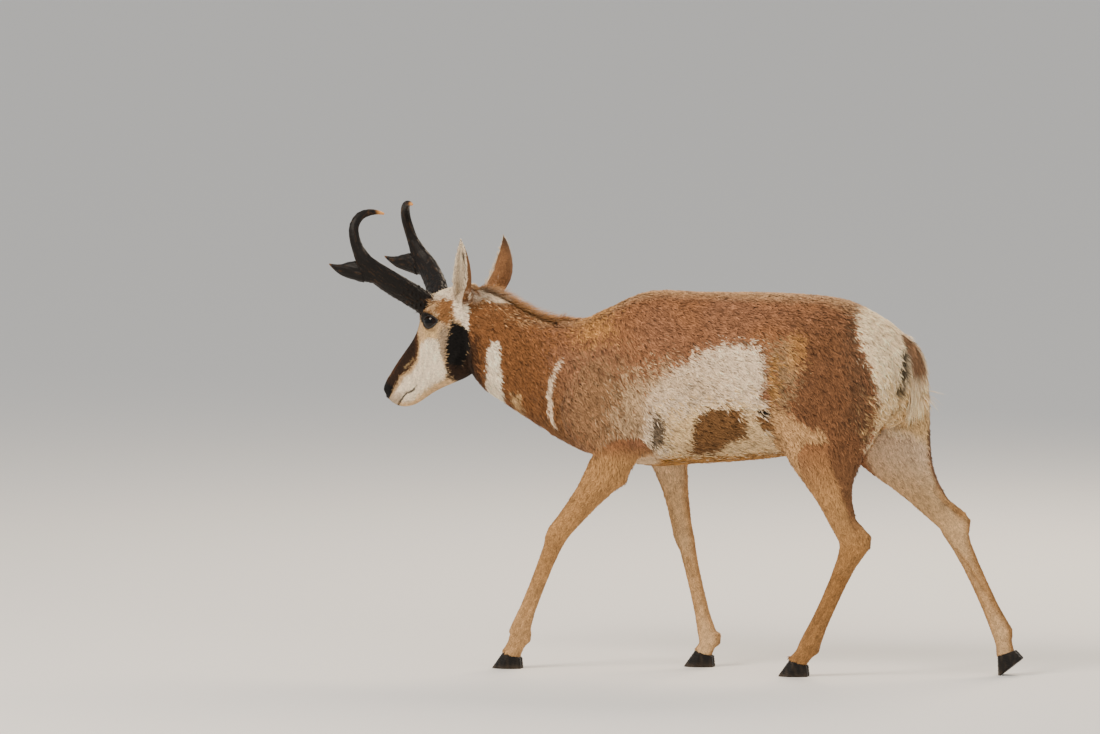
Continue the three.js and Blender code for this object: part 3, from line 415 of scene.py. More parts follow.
# The slit between the tail and a buttock, from the top down: x, outward and z
TAIL_SLIT = [(399, 44, 764), (403, 53, 737), (403, 57, 700), (397, 64, 674)]


def make_relief():
    """Swellings and hollows of the skin, for both sides of the body."""
    relief = []

    def both(start, end, spread, out):
        for side in (-1.0, 1.0):
            ends = [np.array([x, side * y, z], float) for x, y, z in (start, end)]
            relief.append((ends[0], ends[1], spread, out))

    def face(start, end, spread, out):
        for side in (-1.0, 1.0):
            ends = [on_face(f, side * left, up) for f, left, up in (start, end)]
            relief.append((ends[0], ends[1], spread, out))

    def limb(leg, start, end, spread, out):
        relief.append((leg_place(leg, *start), leg_place(leg, *end), spread, out))

    both((205, 96, 842), (222, 104, 815), 22, 7)  # point of the hip
    both((398, 52, 780), (412, 58, 755), 20, 5)  # pin bone
    for start, end in zip(TAIL_SLIT, TAIL_SLIT[1:]):
        both(start, end, 8, -8)  # groove between the tail and the buttock
    both((128, 128, 745), (150, 140, 640), 34, -9)  # hollow of the flank
    both((92, 120, 585), (170, 118, 560), 16, 5)  # skin fold in front of the stifle
    both((345, 100, 700), (352, 100, 560), 13, -5)  # groove between the thigh's muscles
    both((262, 112, 690), (238, 112, 600), 24, 5)  # front muscle of the thigh
    both((-640, 40, 720), (-490, 70, 625), 13, -5)  # groove of the neck
    both((-600, 45, 820), (-470, 75, 760), 22, 3)  # crest muscle of the neck
    for rib in range(8):
        x = -110 + 30 * rib
        both((x, 140, 760), (x + 34, 146, 580), 7, 1.6)
    face((110, 52, -2), (172, 41, -14), 8, 2.6)  # ridge of the cheekbone
    face((96, 55, -80), (182, 36, -88), 9, 3.0)  # lower rim of the jaw
    face((132, 44, 22), (176, 34, 20), 11, -3.0)  # hollow in front of the eye
    face((122, 50, -40), (160, 40, -52), 13, -2.5)  # hollow in front of the chewing muscle
    face((98, 53, 18), (150, 42, -2), 2.6, 1.2)  # vein of the face
    face((150, 42, -2), (196, 34, -34), 2.6, 1.2)
    face((292, 20, 26), (300, 14, 16), 6, 2.4)  # wing of the nostril
    face((228, 34, -36), (260, 30, -25), 2.4, -4)  # line of the mouth
    face((260, 30, -25), (306, 16, -17), 2.4, -4)
    face((246, 30, -20), (290, 26, -12), 5, 1.6)  # upper lip
    face((252, 26, -38), (288, 20, -32), 5, 1.4)  # lower lip
    face((280, 16, 14), (292, 14, 22), 3.5, -3)  # nostril
    # a place on a leg is its joint, and how far up, to the front and outward of it
    for leg in LEG_NAMES:
        for out in (-17, 17):
            limb(leg, (1, -40, -7, out), (2, 34, -9, out), 5, -3.8)  # groove between the bone and its tendon
        limb(leg, (2, 4, -18), (2, -8, -20), 9, 3.4)  # pad behind the fetlock
        if leg.startswith("fore"):
            limb(leg, (1, 14, 0, 20), (1, -8, 0, 20), 8, 3.2)  # outer knob of the knee
            limb(leg, (0, 240, 36, -4), (0, 150, 64), 16, 5)  # front rim of the shoulder
            limb(leg, (0, 220, -30), (0, 120, -20), 26, -6)  # hollow behind the shoulder blade
            limb(leg, (0, 4, -34), (0, -6, -30), 16, 6)  # point of the elbow
            limb(leg, (0, 110, 40), (0, 40, 20), 24, 5)  # muscle of the upper arm
        else:
            stifle, hock = leg_place(leg, 0), leg_place(leg, 1)
            for out in (-20, 20):
                side = np.array([0, out, 0.0])
                upper = hock + (stifle - hock) * 0.5 + [22, 0, 0] + side
                lower = leg_place(leg, 1, 44, -14) + side * 0.8
                relief.append((upper, lower, 9, -7.5))  # hollow in front of the heel tendon
            limb(leg, (1, 26, -34), (1, 8, -28), 9, 4.5)  # point of the hock
    return relief


def relief_at(points):
    """How far the skin stands out at each point."""
    out = np.zeros(len(points))
    for start, end, spread, amount in make_relief():
        near = np.all(np.abs(points - (start + end) / 2) < np.abs(end - start) / 2 + 3 * spread, axis=1)
        away, _ = along_line(points[near], start, end)
        out[near] += amount * np.exp(-((away / spread) ** 2))
    return out


# Eyes: the same balls as the solids', with the lids' opening on them

EYE_PLACE = (55, 45, -50)
EYE_RADIUS = 24.5
EYE_OPENING = {"front": 20.5, "rear": 21.0, "upper": 14.0, "lower": 12.0}
# The opening's outline: 2 would be an oval, and less draws its corners out to points
EYE_CORNER_POWER = 1.45


def eye_axes(sign):
    """Centre of an eyeball and its axes: to the front corner, up along the lids, and out."""
    ahead, raised, tilt = 0.26, 0.06, -0.1
    out = unit(ahead * LEVEL_FORWARD + sign * HEAD_LEFT + raised * WORLD_UP)
    front = LEVEL_FORWARD + tilt * WORLD_UP
    front = unit(front - (front @ out) * out)
    up = unit(WORLD_UP - (WORLD_UP @ out) * out - (WORLD_UP @ front) * front)
    centre = level_place(EYE_PLACE[0], sign * EYE_PLACE[1], EYE_PLACE[2])
    return centre, front, up, out


def opening_angle(turn):
    """How far from the eye's axis the lids' edge lies, for each turn from the front corner."""
    c = np.cos(turn)
    s = np.sin(turn)
    across = np.where(c > 0, EYE_OPENING["front"], EYE_OPENING["rear"])
    along = np.where(s > 0, EYE_OPENING["upper"], EYE_OPENING["lower"])
    bow = (np.abs(c) / across) ** EYE_CORNER_POWER + (np.abs(s) / along) ** EYE_CORNER_POWER
    return np.arcsin(np.minimum(bow ** (-1 / EYE_CORNER_POWER) / EYE_RADIUS, 0.97))


def eye_polar(points, sign):
    """Each point seen from an eyeball's centre: its distance, angle from the eye's axis, and turn."""
    centre, front, up, out = eye_axes(sign)
    away = points - centre
    distance = np.linalg.norm(away, axis=1)
    level = np.clip((away @ out) / np.maximum(distance, 1e-9), -1, 1)
    return distance, np.arccos(level), np.arctan2(away @ up, away @ front)


def fit_lids(points):
    """Sinks the skin behind each eye's opening and lifts it over the ball around it."""
    for sign in (1.0, -1.0):
        centre, _, _, _ = eye_axes(sign)
        distance, angle, turn = eye_polar(points, sign)
        edge = opening_angle(turn)
        near = distance < 2 * EYE_RADIUS
        seen = near & (angle < edge)
        over = near & (angle >= edge) & (angle < 1.75)
        # the lid's fold stands highest 5 mm outside its edge
        cover = EYE_RADIUS + 1.0 + 1.2 * np.exp(-(((angle - edge) * EYE_RADIUS - 5) / 5) ** 2)
        target = distance.copy()
        target[seen] = np.minimum(distance[seen], EYE_RADIUS - 2.5)
        fade = 1 - smoothstep(1.25, 1.75, angle[over])
        target[over] = distance[over] + fade * np.maximum(cover[over] - distance[over], 0)
        points = centre + (points - centre) * (target / np.maximum(distance, 1e-9))[:, None]
    return points


# The crest of the neck, from the poll to the withers: x, middle y and z
CREST = np.array([
    (-668, 26, 880), (-640, 23, 897), (-596, 18, 884), (-548, 12, 860),
    (-500, 7, 836), (-450, 3, 822), (-398, 0, 823), (-335, 0, 836),
], float)


def flatten_mane(points):
    """Brings the skin down to the neck's own crest, where the solids have the mane's locks on it."""
    crest_y = np.interp(points[:, 0], CREST[:, 0], CREST[:, 1])
    crest_z = np.interp(points[:, 0], CREST[:, 0], CREST[:, 2])
    away = points[:, 1] - crest_y
    roof = crest_z - 5 - away ** 2 / 60
    along = (points[:, 0] > -650) & (points[:, 0] < -440) & (np.abs(away) < 34) & (points[:, 2] > roof)
    points[along, 2] = roof[along]
    return points


# Markings, with painted shade on the lower belly and rump: outlines that are laid over each other in this
# order

COAT_COLOURS = {
    "back": "#8c6043",
    "back_warm": "#8f603e",
    # painted highlight: a paler band along the top line of the back, where light from behind rims it
    "back_line": "#c8a273",
    "neck": "#784e2c",
    "shoulder": "#8b6848",
    "speckle": "#b99c78",
    "chest": "#775333",
    "haunch": "#714c31",
    "haunch_dark": "#5e432e",
    "flank_grey": "#a08460",
    "gold": "#b98548",
    "ochre": "#9a6d34",
    "white": "#e4cbac",
    "white_rump": "#eed4ad",
    "cream": "#cfad7a",
    "belly_brown": "#6f4e2e",
    "elbow_grey": "#4d4034",
    "black": "#0c0a08",
    "leg": "#b08352",
    "leg_pale": "#cfab7e",
    # painted shadow on the outer side of the hind legs, from the gaskin down
    "painted_leg_shadow": "#8f6436",
    "buff": "#bb9163",
    "rufous": "#8a5f38",
    "choc": "#2c1d13",
    "choc_soft": "#4b2f1b",
    "cheek_grey": "#8d7b67",
    "face_pale": "#cdab80",
    "face_white": "#efdcc0",
    "ear_back": "#875e3c",
    "ear_dark": "#2c2019",
    "tail_brown": "#6f4628",
    "lip": "#bca88f",
    "nose": "#100e0d",
    "mane_dark": "#3a2616",
}

# Each is its colour, outline, width of the mingled edge, waver of the outline, and strength. Outlines are by
# x and z on the body and neck, and by forward and up on the face.
BODY_MARKS_AND_PAINTED_SHADE = [
    ("shoulder", [
        (-360, 760), (-250, 740), (-180, 640), (-200, 500), (-340, 500), (-420, 600),
    ], 45, 14, 0.9),
    ("speckle", [
        (-262, 690), (-200, 700), (-150, 735), (-140, 640), (-190, 500), (-262, 520), (-280, 600),
    ], 34, 10, 0.75),
    ("haunch", [(150, 850), (290, 850), (360, 700), (330, 560), (180, 560), (120, 640)], 40, 12, 1.0),
    ("flank_grey", [(88, 785), (150, 790), (165, 700), (140, 640), (104, 640)], 22, 8, 0.65),
    ("gold", [(-392, 850), (-300, 862), (-300, 800), (-340, 780), (-400, 800)], 26, 8, 0.7),
    ("gold", [(143, 802), (171, 812), (182, 781), (171, 742), (143, 725), (138, 769)], 14, 5, 0.5),
    ("haunch_dark", [
        (273, 895), (292, 841), (307, 783), (331, 737), (345, 691), (355, 644), (345, 581), (307, 542),
        (290, 600), (300, 650), (296, 724), (268, 818),
    ], 26, 8, 0.85),
    ("white", [
        (-194, 668), (-160, 700), (-140, 722), (-100, 748), (-61, 768), (-13, 779), (40, 786), (71, 782),
        (86, 764), (92, 718), (84, 664), (98, 648), (116, 570), (128, 512), (90, 440), (-240, 440),
        (-215, 552), (-206, 610),
    ], 13, 6, 1.0),
    ("speckle", [(-200, 690), (-120, 730), (-20, 700), (-40, 650), (-190, 640)], 40, 12, 0.5),
    # painted shade: the white belly is laid cream below, darker towards its underside
    ("cream", [(-170, 620), (-60, 640), (80, 640), (120, 560), (110, 500), (-180, 470)], 30, 10, 0.8),
    ("buff", [
        (90, 652), (102, 646), (167, 612), (223, 590), (251, 557), (257, 470), (285, 383), (120, 383),
        (98, 560),
    ], 7, 3, 1.0),
    # painted shade: ochre along the underside of the white belly
    ("ochre", [(-240, 508), (-60, 512), (130, 528), (135, 470), (-240, 440)], 8, 3, 1.0),
    ("ochre", [(91, 757), (110, 757), (116, 704), (111, 655), (96, 640), (90, 698)], 11, 5, 0.7),
    ("belly_brown", [
        (-109, 524), (-95, 552), (-84, 607), (-62, 626), (-11, 634), (24, 630), (35, 609), (36, 565),
        (-11, 549), (-50, 521), (-90, 518),
    ], 7, 4, 1.0),
    ("elbow_grey", [
        (-188, 620), (-171, 613), (-156, 594), (-160, 561), (-182, 536), (-199, 516), (-191, 571),
    ], 9, 3, 0.9),
    ("belly_brown", [(64, 620), (96, 614), (105, 583), (83, 582), (66, 604)], 5, 2, 1.0),
    ("black", [(66, 636), (84, 634), (99, 626), (97, 615), (72, 621)], 3, 1, 1.0),
    ("white_rump", [
        (280, 902), (285, 850), (292, 828), (301, 796), (318, 764), (338, 730), (350, 690), (354, 640),
        (349, 600), (330, 561), (322, 520), (360, 470), (520, 470), (520, 902),
    ], 9, 4, 1.0),
    # painted shade: the white rump is laid cream and ochre low down, darker towards its bottom
    ("cream", [(372, 700), (440, 690), (520, 640), (520, 470), (340, 470), (350, 600)], 34, 10, 0.8),
    ("ochre", [(360, 640), (410, 640), (520, 600), (520, 470), (340, 470), (350, 580)], 34, 10, 0.35),
]
NECK_MARKS = [
    ("neck", [(-700, 900), (-560, 880), (-450, 790), (-440, 600), (-520, 540), (-700, 600)], 50, 14, 1.0),
    ("choc", [(-680, 775), (-634, 775), (-628, 719), (-632, 640), (-690, 640)], 14, 3, 0.8),
    ("white", [
        (-422, 738), (-447, 692), (-455, 647), (-448, 600), (-436, 576), (-434, 588), (-440, 624),
        (-439, 664), (-430, 702), (-413, 741),
    ], 2, 0.6, 0.9),
    ("face_white", [
        (-606, 755), (-599, 771), (-580, 770), (-577, 753), (-576, 725), (-574, 689), (-574, 640),
        (-590, 606), (-625, 630), (-616, 696), (-614, 724),
    ], 3, 1, 1.0),
    ("cream", [(-550, 650), (-530, 650), (-528, 604), (-548, 612)], 8, 3, 0.6),
    ("white", [
        (-643, 893), (-614, 890), (-585, 874), (-568, 858), (-597, 858), (-626, 868), (-648, 872),
    ], 3, 1, 1.0),
]
FACE_MARKS = [
    ("face_pale", [(-40, 60), (320, 60), (320, -150), (-40, -150)], 20, 4, 1.0),
    ("face_white", [(60, 100), (-20, 60), (-45, 15), (8, -4), (26, 22), (62, 66)], 6, 3, 1.0),
    ("rufous", [
        (84, 66), (60, 58), (38, 46), (14, 30), (-2, 6), (36, -26), (60, -19), (60, 4), (52, 16),
        (80, 40),
    ], 6, 3, 1.0),
    ("face_pale", [(66, 58), (44, 46), (30, 28), (48, 24), (66, 40)], 6, 2, 0.7),
    ("cream", [(105, 24), (78, -8), (98, -25), (126, 6)], 7, 3, 0.8),
    ("choc", [
        (122, -58), (150, -74), (196, -86), (184, -150), (60, -190), (-30, -150), (0, -100), (48, -80),
        (106, -85),
    ], 8, 3, 1.0),
    ("cheek_grey", [(57, -10), (62, -34), (106, -53), (133, -62), (127, -36), (94, -16)], 5, 3, 0.85),
    ("face_white", [
        (141, 11), (180, -6), (210, -6), (238, 5), (262, 1), (285, 0), (290, -24), (262, -52),
        (194, -76), (171, -80), (154, -77), (137, -60), (121, -35), (99, -25), (112, 0),
    ], 4, 2, 1.0),
    ("black", [
        (38, -20), (73, -33), (95, -45), (112, -51), (134, -66), (122, -98), (66, -92), (34, -74),
        (30, -52), (38, -33),
    ], 4, 1.5, 1.0),
    ("face_white", [
        (-10, 6), (-46, -10), (-56, -40), (-35, -56), (-5, -72), (20, -74), (34, -62), (34, -45),
        (29, -23), (14, -5),
    ], 4, 2, 1.0),
    ("choc_soft", [
        (124, 60), (130, 34), (150, 12), (180, -2), (212, -2), (240, 10), (266, 3), (290, 3), (300, 60),
    ], 4, 2, 1.0),
    ("choc", [
        (140, 50), (150, 26), (164, 12), (212, 4), (240, 14), (270, 6), (290, 8), (290, 36), (230, 36),
    ], 4, 2, 1.0),
    ("cream", [(182, 9), (216, 16), (218, 12), (184, 5)], 3, 1, 0.4),
    ("face_pale", [(120, 52), (262, 44), (262, 60), (120, 70)], 4, 2, 0.8),
    ("nose", [(268, 60), (276, 28), (268, 12), (284, 4), (314, 8), (320, 40)], 2, 0.6, 1.0),
    ("lip", [(284, 2), (306, 8), (312, -12), (288, -24), (262, -18)], 3, 2, 0.9),
    ("face_pale", [(200, -66), (240, -52), (290, -46), (300, -80), (190, -110), (160, -90)], 6, 3, 1.0),
    ("nose", [
        (228, -35), (247, -30), (262, -22), (284, -20), (304, -16), (304, -20), (284, -25), (262, -28),
        (247, -36),
    ], 1.2, 0.4, 0.9),
]
# How much further back the far foreleg stands than the near one, for the markings behind it
FAR_FORELEG_BACK = 62.0


def lay(colours, name, strength):
    """Lays one colour of the coat over the others by a strength at each point."""
    shade = np.asarray(linear(COAT_COLOURS[name]))
    return colours + strength[:, None] * (shade - colours)


def lay_marks(colours, flat, marks, within, wave, mingle):
    """Lays every outline of a list where the points belong. At an edge, hairs of both colours mingle."""
    for name, outline, edge, waver, strength in marks:
        corners = np.asarray(outline, float)
        low = corners.min(axis=0) - 3 * edge - waver
        high = corners.max(axis=0) + 3 * edge + waver
        near = np.nonzero(within & np.all((flat > low) & (flat < high), axis=1))[0]
        depth = inside_depth(flat[near], corners) + waver * wave[near] + 0.6 * edge * mingle[near]
        colours[near] = lay(colours[near], name, strength * smoothstep(-0.6 * edge, 0.6 * edge, depth))
    return colours


# How far from its middle line the skin belongs to each run of a leg, from the top down
LEG_REACH = (64, 42, 40)


def leg_shares(points):
    """How much each point belongs to a leg below the trunk, and how far down that leg it lies."""
    share = np.zeros(len(points))
    down = np.zeros(len(points))
    for leg in LEG_NAMES:
        places = [leg_place(leg, i) for i in range(4)]
        for row, reach in enumerate(LEG_REACH):
            away, along = along_line(points, places[row], places[row + 1])
            mine = 1 - smoothstep(reach, reach + 20, away)
            down = np.where(mine > share, row + along, down)
            share = np.maximum(share, mine)
    return share, down


def coat_colours(points, normals):
    """The linear colour of the coat at each point, with its painted highlight and shadows, the same for the
    skin and for every tuft.
    """
    x, y, z = points.T
    wave = ripple(points, 26, SEEDS["wave"])
    wide = ripple(points, 130, SEEDS["wide"])
    mingle = np.random.default_rng(SEEDS["mingle"]).normal(0, 1, len(points))
    colours = np.tile(np.asarray(linear(COAT_COLOURS["back"])), (len(points), 1))
    colours = lay(colours, "back_warm", smoothstep(-0.6, 0.8, wide))
    # painted highlight: a paler band along the top line of the back, where light from behind rims it
    colours = lay(colours, "back_line", 0.6 * smoothstep(-20, 4, z - np.interp(x, *back_line())))
    colours = lay(colours, "chest", smoothstep(-360, -430, x) * smoothstep(740, 620, z) * 0.85)
    head = ahead_of_jaw(points) > -6
    legs, down = leg_shares(points)
    trunk = ~head & (x > -470) & ((legs < 0.97) | (z > 560))
    # the far foreleg stands further back, and the white flank starts behind it
    flat = points[:, [0, 2]].copy()
    flat[:, 0] -= FAR_FORELEG_BACK * (y > 0) * np.clip((60 - x) / 260, 0, 1)
    colours = lay_marks(colours, flat, BODY_MARKS_AND_PAINTED_SHADE, trunk, wave, mingle)
    neck = ~head & (x < -400)
    colours = lay_marks(colours, points[:, [0, 2]], NECK_MARKS, neck, wave, mingle)
    low = legs * np.where(x < 0, smoothstep(548, 500, z), smoothstep(600, 400, z))
    colours = lay(colours, "leg", low)
    inner = smoothstep(0.1, 0.9, -np.sign(y) * leg_facing(points))
    colours = lay(colours, "leg_pale", low * np.maximum(0.3 * smoothstep(1.1, 2.0, down), inner * 0.9))
    # painted shadow on the outer side of the hind legs, from the gaskin down
    colours = lay(colours, "painted_leg_shadow", low * (x > 60) * (1 - inner) * 0.8 * smoothstep(0.7, 1.2, down))
    colours = lay(colours, "white", legs * inner * smoothstep(400, 540, z) * 0.6)
    colours = lay(colours, "haunch", 0.9 * rear_strips(points, normals))
    colours = lay(colours, "tail_brown", tail_brown(points))
    # painted shadow in the slits between the tail and the buttocks, in the nose's near-black
    colours = lay(colours, "nose", 0.85 * tail_slit_shadows(points))
    face = face_coordinates(points)
    colours = lay_marks(colours, face[:, [0, 2]], FACE_MARKS, head, wave, mingle)
    colours = ear_colours(colours, points, normals)
    colours = lay_eye_ring(colours, points)
    return np.clip(colours * (1 + 0.10 * wave[:, None]), 0.002, 0.92)


def rear_strips(points, normals):
    """The brown hair down the rear and outer side of the hind thighs and gaskins."""
    strip = np.zeros(len(points))
    for leg in ("hind_left", "hind_right"):
        top, hock = leg_place(leg, 0), leg_place(leg, 1)
        _, share = along_line(points, top, hock)
        middle = top + share[:, None] * (hock - top)
        behind = points[:, 0] - middle[:, 0]
        turned = normals @ unit([0.8, 0.6 * np.sign(top[1]), 0.0])
        mine = smoothstep(10, 22, behind) * (behind < 90) * smoothstep(0.3, 0.65, turned)
        mine *= (np.abs(points[:, 1] - middle[:, 1]) < 70) * smoothstep(606, 566, points[:, 2])
        strip = np.maximum(strip, mine * smoothstep(0.95, 0.6, share))
    return strip


JAW_CORNER = np.array([-652.0, 24.0, 790.0])
JAW_FACING = (-0.985, 0.17, -0.05)


def ahead_of_jaw(points):
    """How far each point lies in front of the plane where the head meets the neck."""
    return (points - JAW_CORNER) @ unit(JAW_FACING)


def tail_brown(points):
    """The tail's brown upper side, with a pale line along its middle."""
    away, share = along_line(points, (404, 0, 788), (430, 0, 704))
    beside = smoothstep(2, 7, np.abs(points[:, 1]))
    return 0.9 * smoothstep(38, 28, away) * smoothstep(1.0, 0.6, share) * beside


def tail_slit_shadows(points):
    """Painted shadow in the slits between the tail and the buttocks."""
    slit = np.zeros(len(points))
    for side in (-1.0, 1.0):
        for start, end in zip(TAIL_SLIT, TAIL_SLIT[1:]):
            away, _ = along_line(points, *[(x, side * y, z) for x, y, z in (start, end)])
            slit = np.maximum(slit, smoothstep(14, 8, away))
    return slit


def back_line():
    """The top line of the animal, x and z, from the withers to the tail."""
    stations = [
        (-440, 815), (-380, 822), (-310, 850), (-250, 880), (-190, 892), (200, 886), (318, 850), (400, 795),
    ]
    return tuple(np.array(stations, float).T)


def leg_facing(points):
    """Each point's side of its leg: below zero on the leg's left side, and above zero on its right."""
    side = np.zeros(len(points))
    best = np.full(len(points), 1e9)
    for leg in LEG_NAMES:
        places = [leg_place(leg, i) for i in range(4)]
        for row in range(3):
            away, along = along_line(points, places[row], places[row + 1])
            middle = places[row][1] + along * (places[row + 1][1] - places[row][1])
            mine = away < best
            side[mine] = (points[mine, 1] - middle[mine]) / 22
            best = np.minimum(best, away)
    return side


def ear_shares(points):
    """How much each point belongs to the free part of an ear."""
    share = np.zeros(len(points))
    for sign in EARS:
        away, along = on_ear(points, sign)
        share = np.maximum(share, (away < EAR_REACH) * smoothstep(0.14, 0.26, along))
    return share


def ear_colours(colours, points, normals):
    """Brown backs, dark tips, and cups of pale hair with a dark slit and a thin dark rim."""
    free = ear_shares(points)
    colours = lay(colours, "ear_back", free)
    for sign in EARS:
        away, share = on_ear(points, sign)
        ends, cup, across = ear_frame(sign)
        low = ends[0] + 2 * share[:, None] * (ends[1] - ends[0])
        high = ends[1] + (2 * share[:, None] - 1) * (ends[2] - ends[1])
        off = points - np.where(share[:, None] < 0.5, low, high)
        side = off @ across
        mine = free * (away < EAR_REACH)
        inside = mine * smoothstep(0.05, 0.35, normals @ cup)
        colours = lay(colours, "face_white", inside * 0.95)
        slit = smoothstep(5, 2, np.abs(side)) * smoothstep(0.3, 0.4, share) * smoothstep(0.85, 0.7, share)
        colours = lay(colours, "ear_dark", inside * slit * 0.8)
        colours = lay(colours, "ear_dark", mine * (1 - inside) * smoothstep(0.7, 1.0, share) * 0.85)
        front_edge = smoothstep(6, 12, off @ LEVEL_FORWARD) * smoothstep(0.95, 0.8, share)
        colours = lay(colours, "face_white", mine * front_edge * 0.9)
    return colours


def lay_eye_ring(colours, points):
    """Bare black skin round the eyes, drawn out at the front corner."""
    for sign in (1.0, -1.0):
        distance, angle, turn = eye_polar(points, sign)
        edge = opening_angle(turn)
        width = 0.2 + 0.5 * np.exp(-((turn - 0.5) / 0.55) ** 2)
        ring = (distance < 40) * smoothstep(width, width * 0.6, angle - edge)
        colours = lay(colours, "nose", ring)
    return colours


# Tufts: flat tapered blades with a low ridge, rooted in the skin and lying along the coat


class SkinField:
    """The finished skin as triangles with normals and unwrap, to draw tuft roots from."""

    def __init__(self, mesh):
        mesh.calc_loop_triangles()
        count = len(mesh.loop_triangles)
        corners = np.empty(count * 3, np.int32)
        loops = np.empty(count * 3, np.int32)
        mesh.loop_triangles.foreach_get("vertices", corners)
        mesh.loop_triangles.foreach_get("loops", loops)
        self.corners = corners.reshape(-1, 3)
        self.points = read_points(mesh)
        self.normals = read_normals(mesh)
        unwrap = np.empty(len(mesh.loops) * 2, np.float32)
        mesh.uv_layers["OFBake"].data.foreach_get("uv", unwrap)
        self.unwrap = unwrap.reshape(-1, 2)[loops.reshape(-1, 3)]
        a, b, c = (self.points[self.corners[:, i]] for i in range(3))
        self.areas = np.linalg.norm(np.cross(b - a, c - a), axis=1) / 2
        self.middles = (a + b + c) / 3

    def draw_roots(self, density, seed):
        """Random roots, by the wanted count per square millimetre at each triangle."""
        draw = np.random.default_rng(seed)
        wanted = self.areas * density
        counts = np.floor(wanted + draw.random(len(wanted))).astype(int)
        rows = np.repeat(np.arange(len(counts)), counts)
        share = draw.random((len(rows), 2))
        flip = share.sum(axis=1) > 1
        share[flip] = 1 - share[flip]
        weights = np.column_stack([1 - share.sum(axis=1), share])
        points = np.einsum("ij,ijk->ik", weights, self.points[self.corners[rows]])
        normals = unit(np.einsum("ij,ijk->ik", weights, self.normals[self.corners[rows]]))
        places = np.einsum("ij,ijk->ik", weights, self.unwrap[rows])
        return points, normals, places


# A blade's corners are three at its root, three at its middle and one at its tip
BLADE_FACES = np.array([[0, 1, 4], [0, 4, 3], [1, 2, 5], [1, 5, 4], [3, 4, 6], [4, 5, 6]])
# The share of the unwrap's side that one blade takes up
PATCH = 0.003
BLADE_PATCH = np.array([[0, 0], [0.5, 0], [1, 0], [0.1, 0.5], [0.5, 0.5], [0.9, 0.5], [0.5, 1]]) * PATCH
# Roots lie in the shade of the coat, and tips catch the light
BLADE_SHADES = np.array([0.36, 0.42, 0.36, 0.84, 0.98, 0.84, 1.4])
ROOT_SUNK = 0.8
RIDGE_RISE = 0.22
TUFTS_PER_PIECE = 32000
SEEDS = {
    "wave": 3, "wide": 4, "mingle": 6, "body_coat": 11, "leg_coat": 23, "face_coat": 37, "mane": 51,
    "tail": 56, "ear": 61, "horn_hair": 64, "lashes": 71, "horn": 81, "hoof": 91,
}


def blade_faces(count):
    """The faces of a number of blades whose corners follow each other."""
    return (BLADE_FACES[None] + 7 * np.arange(count)[:, None, None]).reshape(-1, 3)


def blades(points, normals, lie, length, width, lift, seed, spread=0.22, droop=0.5):
    """Corner places of one blade per root, seven each: a root edge, a middle edge and the tip."""
    draw = np.random.default_rng(seed)
    count = len(points)
    way = lie + draw.normal(0, spread, (count, 3))
    way = unit(way - np.sum(way * normals, axis=1, keepdims=True) * normals)
    across = np.cross(normals, way)
    length = (length * draw.uniform(0.75, 1.2, count))[:, None]
    width = (width * draw.uniform(0.75, 1.25, count))[:, None]
    rise = (np.radians(lift) * draw.uniform(0.5, 1.5, count))[:, None]
    start = points - normals * ROOT_SUNK
    middle = start + 0.5 * length * (way * np.cos(rise) + normals * np.sin(rise)) + normals * 0.5
    low = rise * droop
    bend = across * draw.normal(0, 0.06, (count, 1)) * length
    tip = start + length * (way * np.cos(low) + normals * np.sin(low)) + bend
    ridge = normals * width * RIDGE_RISE
    rows = [start - across * width * 0.4, start + ridge, start + across * width * 0.4,
            middle - across * width * 0.5, middle + ridge, middle + across * width * 0.5, tip]
    return np.stack(rows, axis=1)


def build_coat_piece(name, corners, places, tones, material, seed, contrast=1.0):
    """One object of blades in the coat's colours, painted shade and light along each, and its place on the
    unwrap.
    """
    count = len(corners)
    faces = blade_faces(count)
    piece = mesh_from(name, corners.reshape(-1, 3), faces)
    mesh = piece.data
    draw = np.random.default_rng(seed)
    each = draw.normal(1.0, 0.24, count)[:, None] * BLADE_SHADES
    # light passes on from hair to hair in pale fur, so its roots stay lighter
    each = 1 + (each - 1) * contrast * (1 - 0.5 * smoothstep(0.2, 0.6, tones.mean(axis=1)))[:, None]
    shades = np.clip(tones[:, None, :] * each[:, :, None], 0.002, 0.95)
    paint(mesh, "Coat", shades.reshape(-1, 3))
    layer = mesh.uv_layers.new(name="OFBake")
    patch = np.clip(places[:, None, :] + BLADE_PATCH[None], 0.0, 1.0)
    layer.data.foreach_set("uv", patch.reshape(-1, 2)[faces.ravel()].astype(np.float32).ravel())
    dress(piece, material)


def grow_coat(name, field, chosen, cover, material, contrast=1.0):
    """Covers the chosen part of the skin with tufts, split into pieces of limited size from nose to tail."""
    seed = SEEDS[name]
    _, coat = coat_at(field.middles)
    size = coat["length"] * coat["width"] * 0.6
    roots, normals, places = field.draw_roots(chosen * cover / size, seed)
    lie, coat = coat_at(roots)
    tones = coat_colours(roots, normals) * (1 + 0.14 * ripple(roots, 11, seed + 5))[:, None]
    curl = ripple(roots, 34, seed + 9)
    lie = unit(lie + np.cross(normals, lie) * (0.22 * curl)[:, None])
    corners = blades(roots, normals, lie, coat["length"], coat["width"], coat["lift"], seed)
    corners[:, :, 2] = np.maximum(corners[:, :, 2], 1.0)
    order = np.argsort(roots[:, 0])
    for part, rows in enumerate(np.array_split(order, max(1, math.ceil(len(order) / TUFTS_PER_PIECE)))):
        build_coat_piece(f"{name}_{part + 1}", corners[rows], places[rows], tones[rows], material,
                         seed + part, contrast)


# Materials. Each is named for the real one, and its numbers start from what that material is known for.

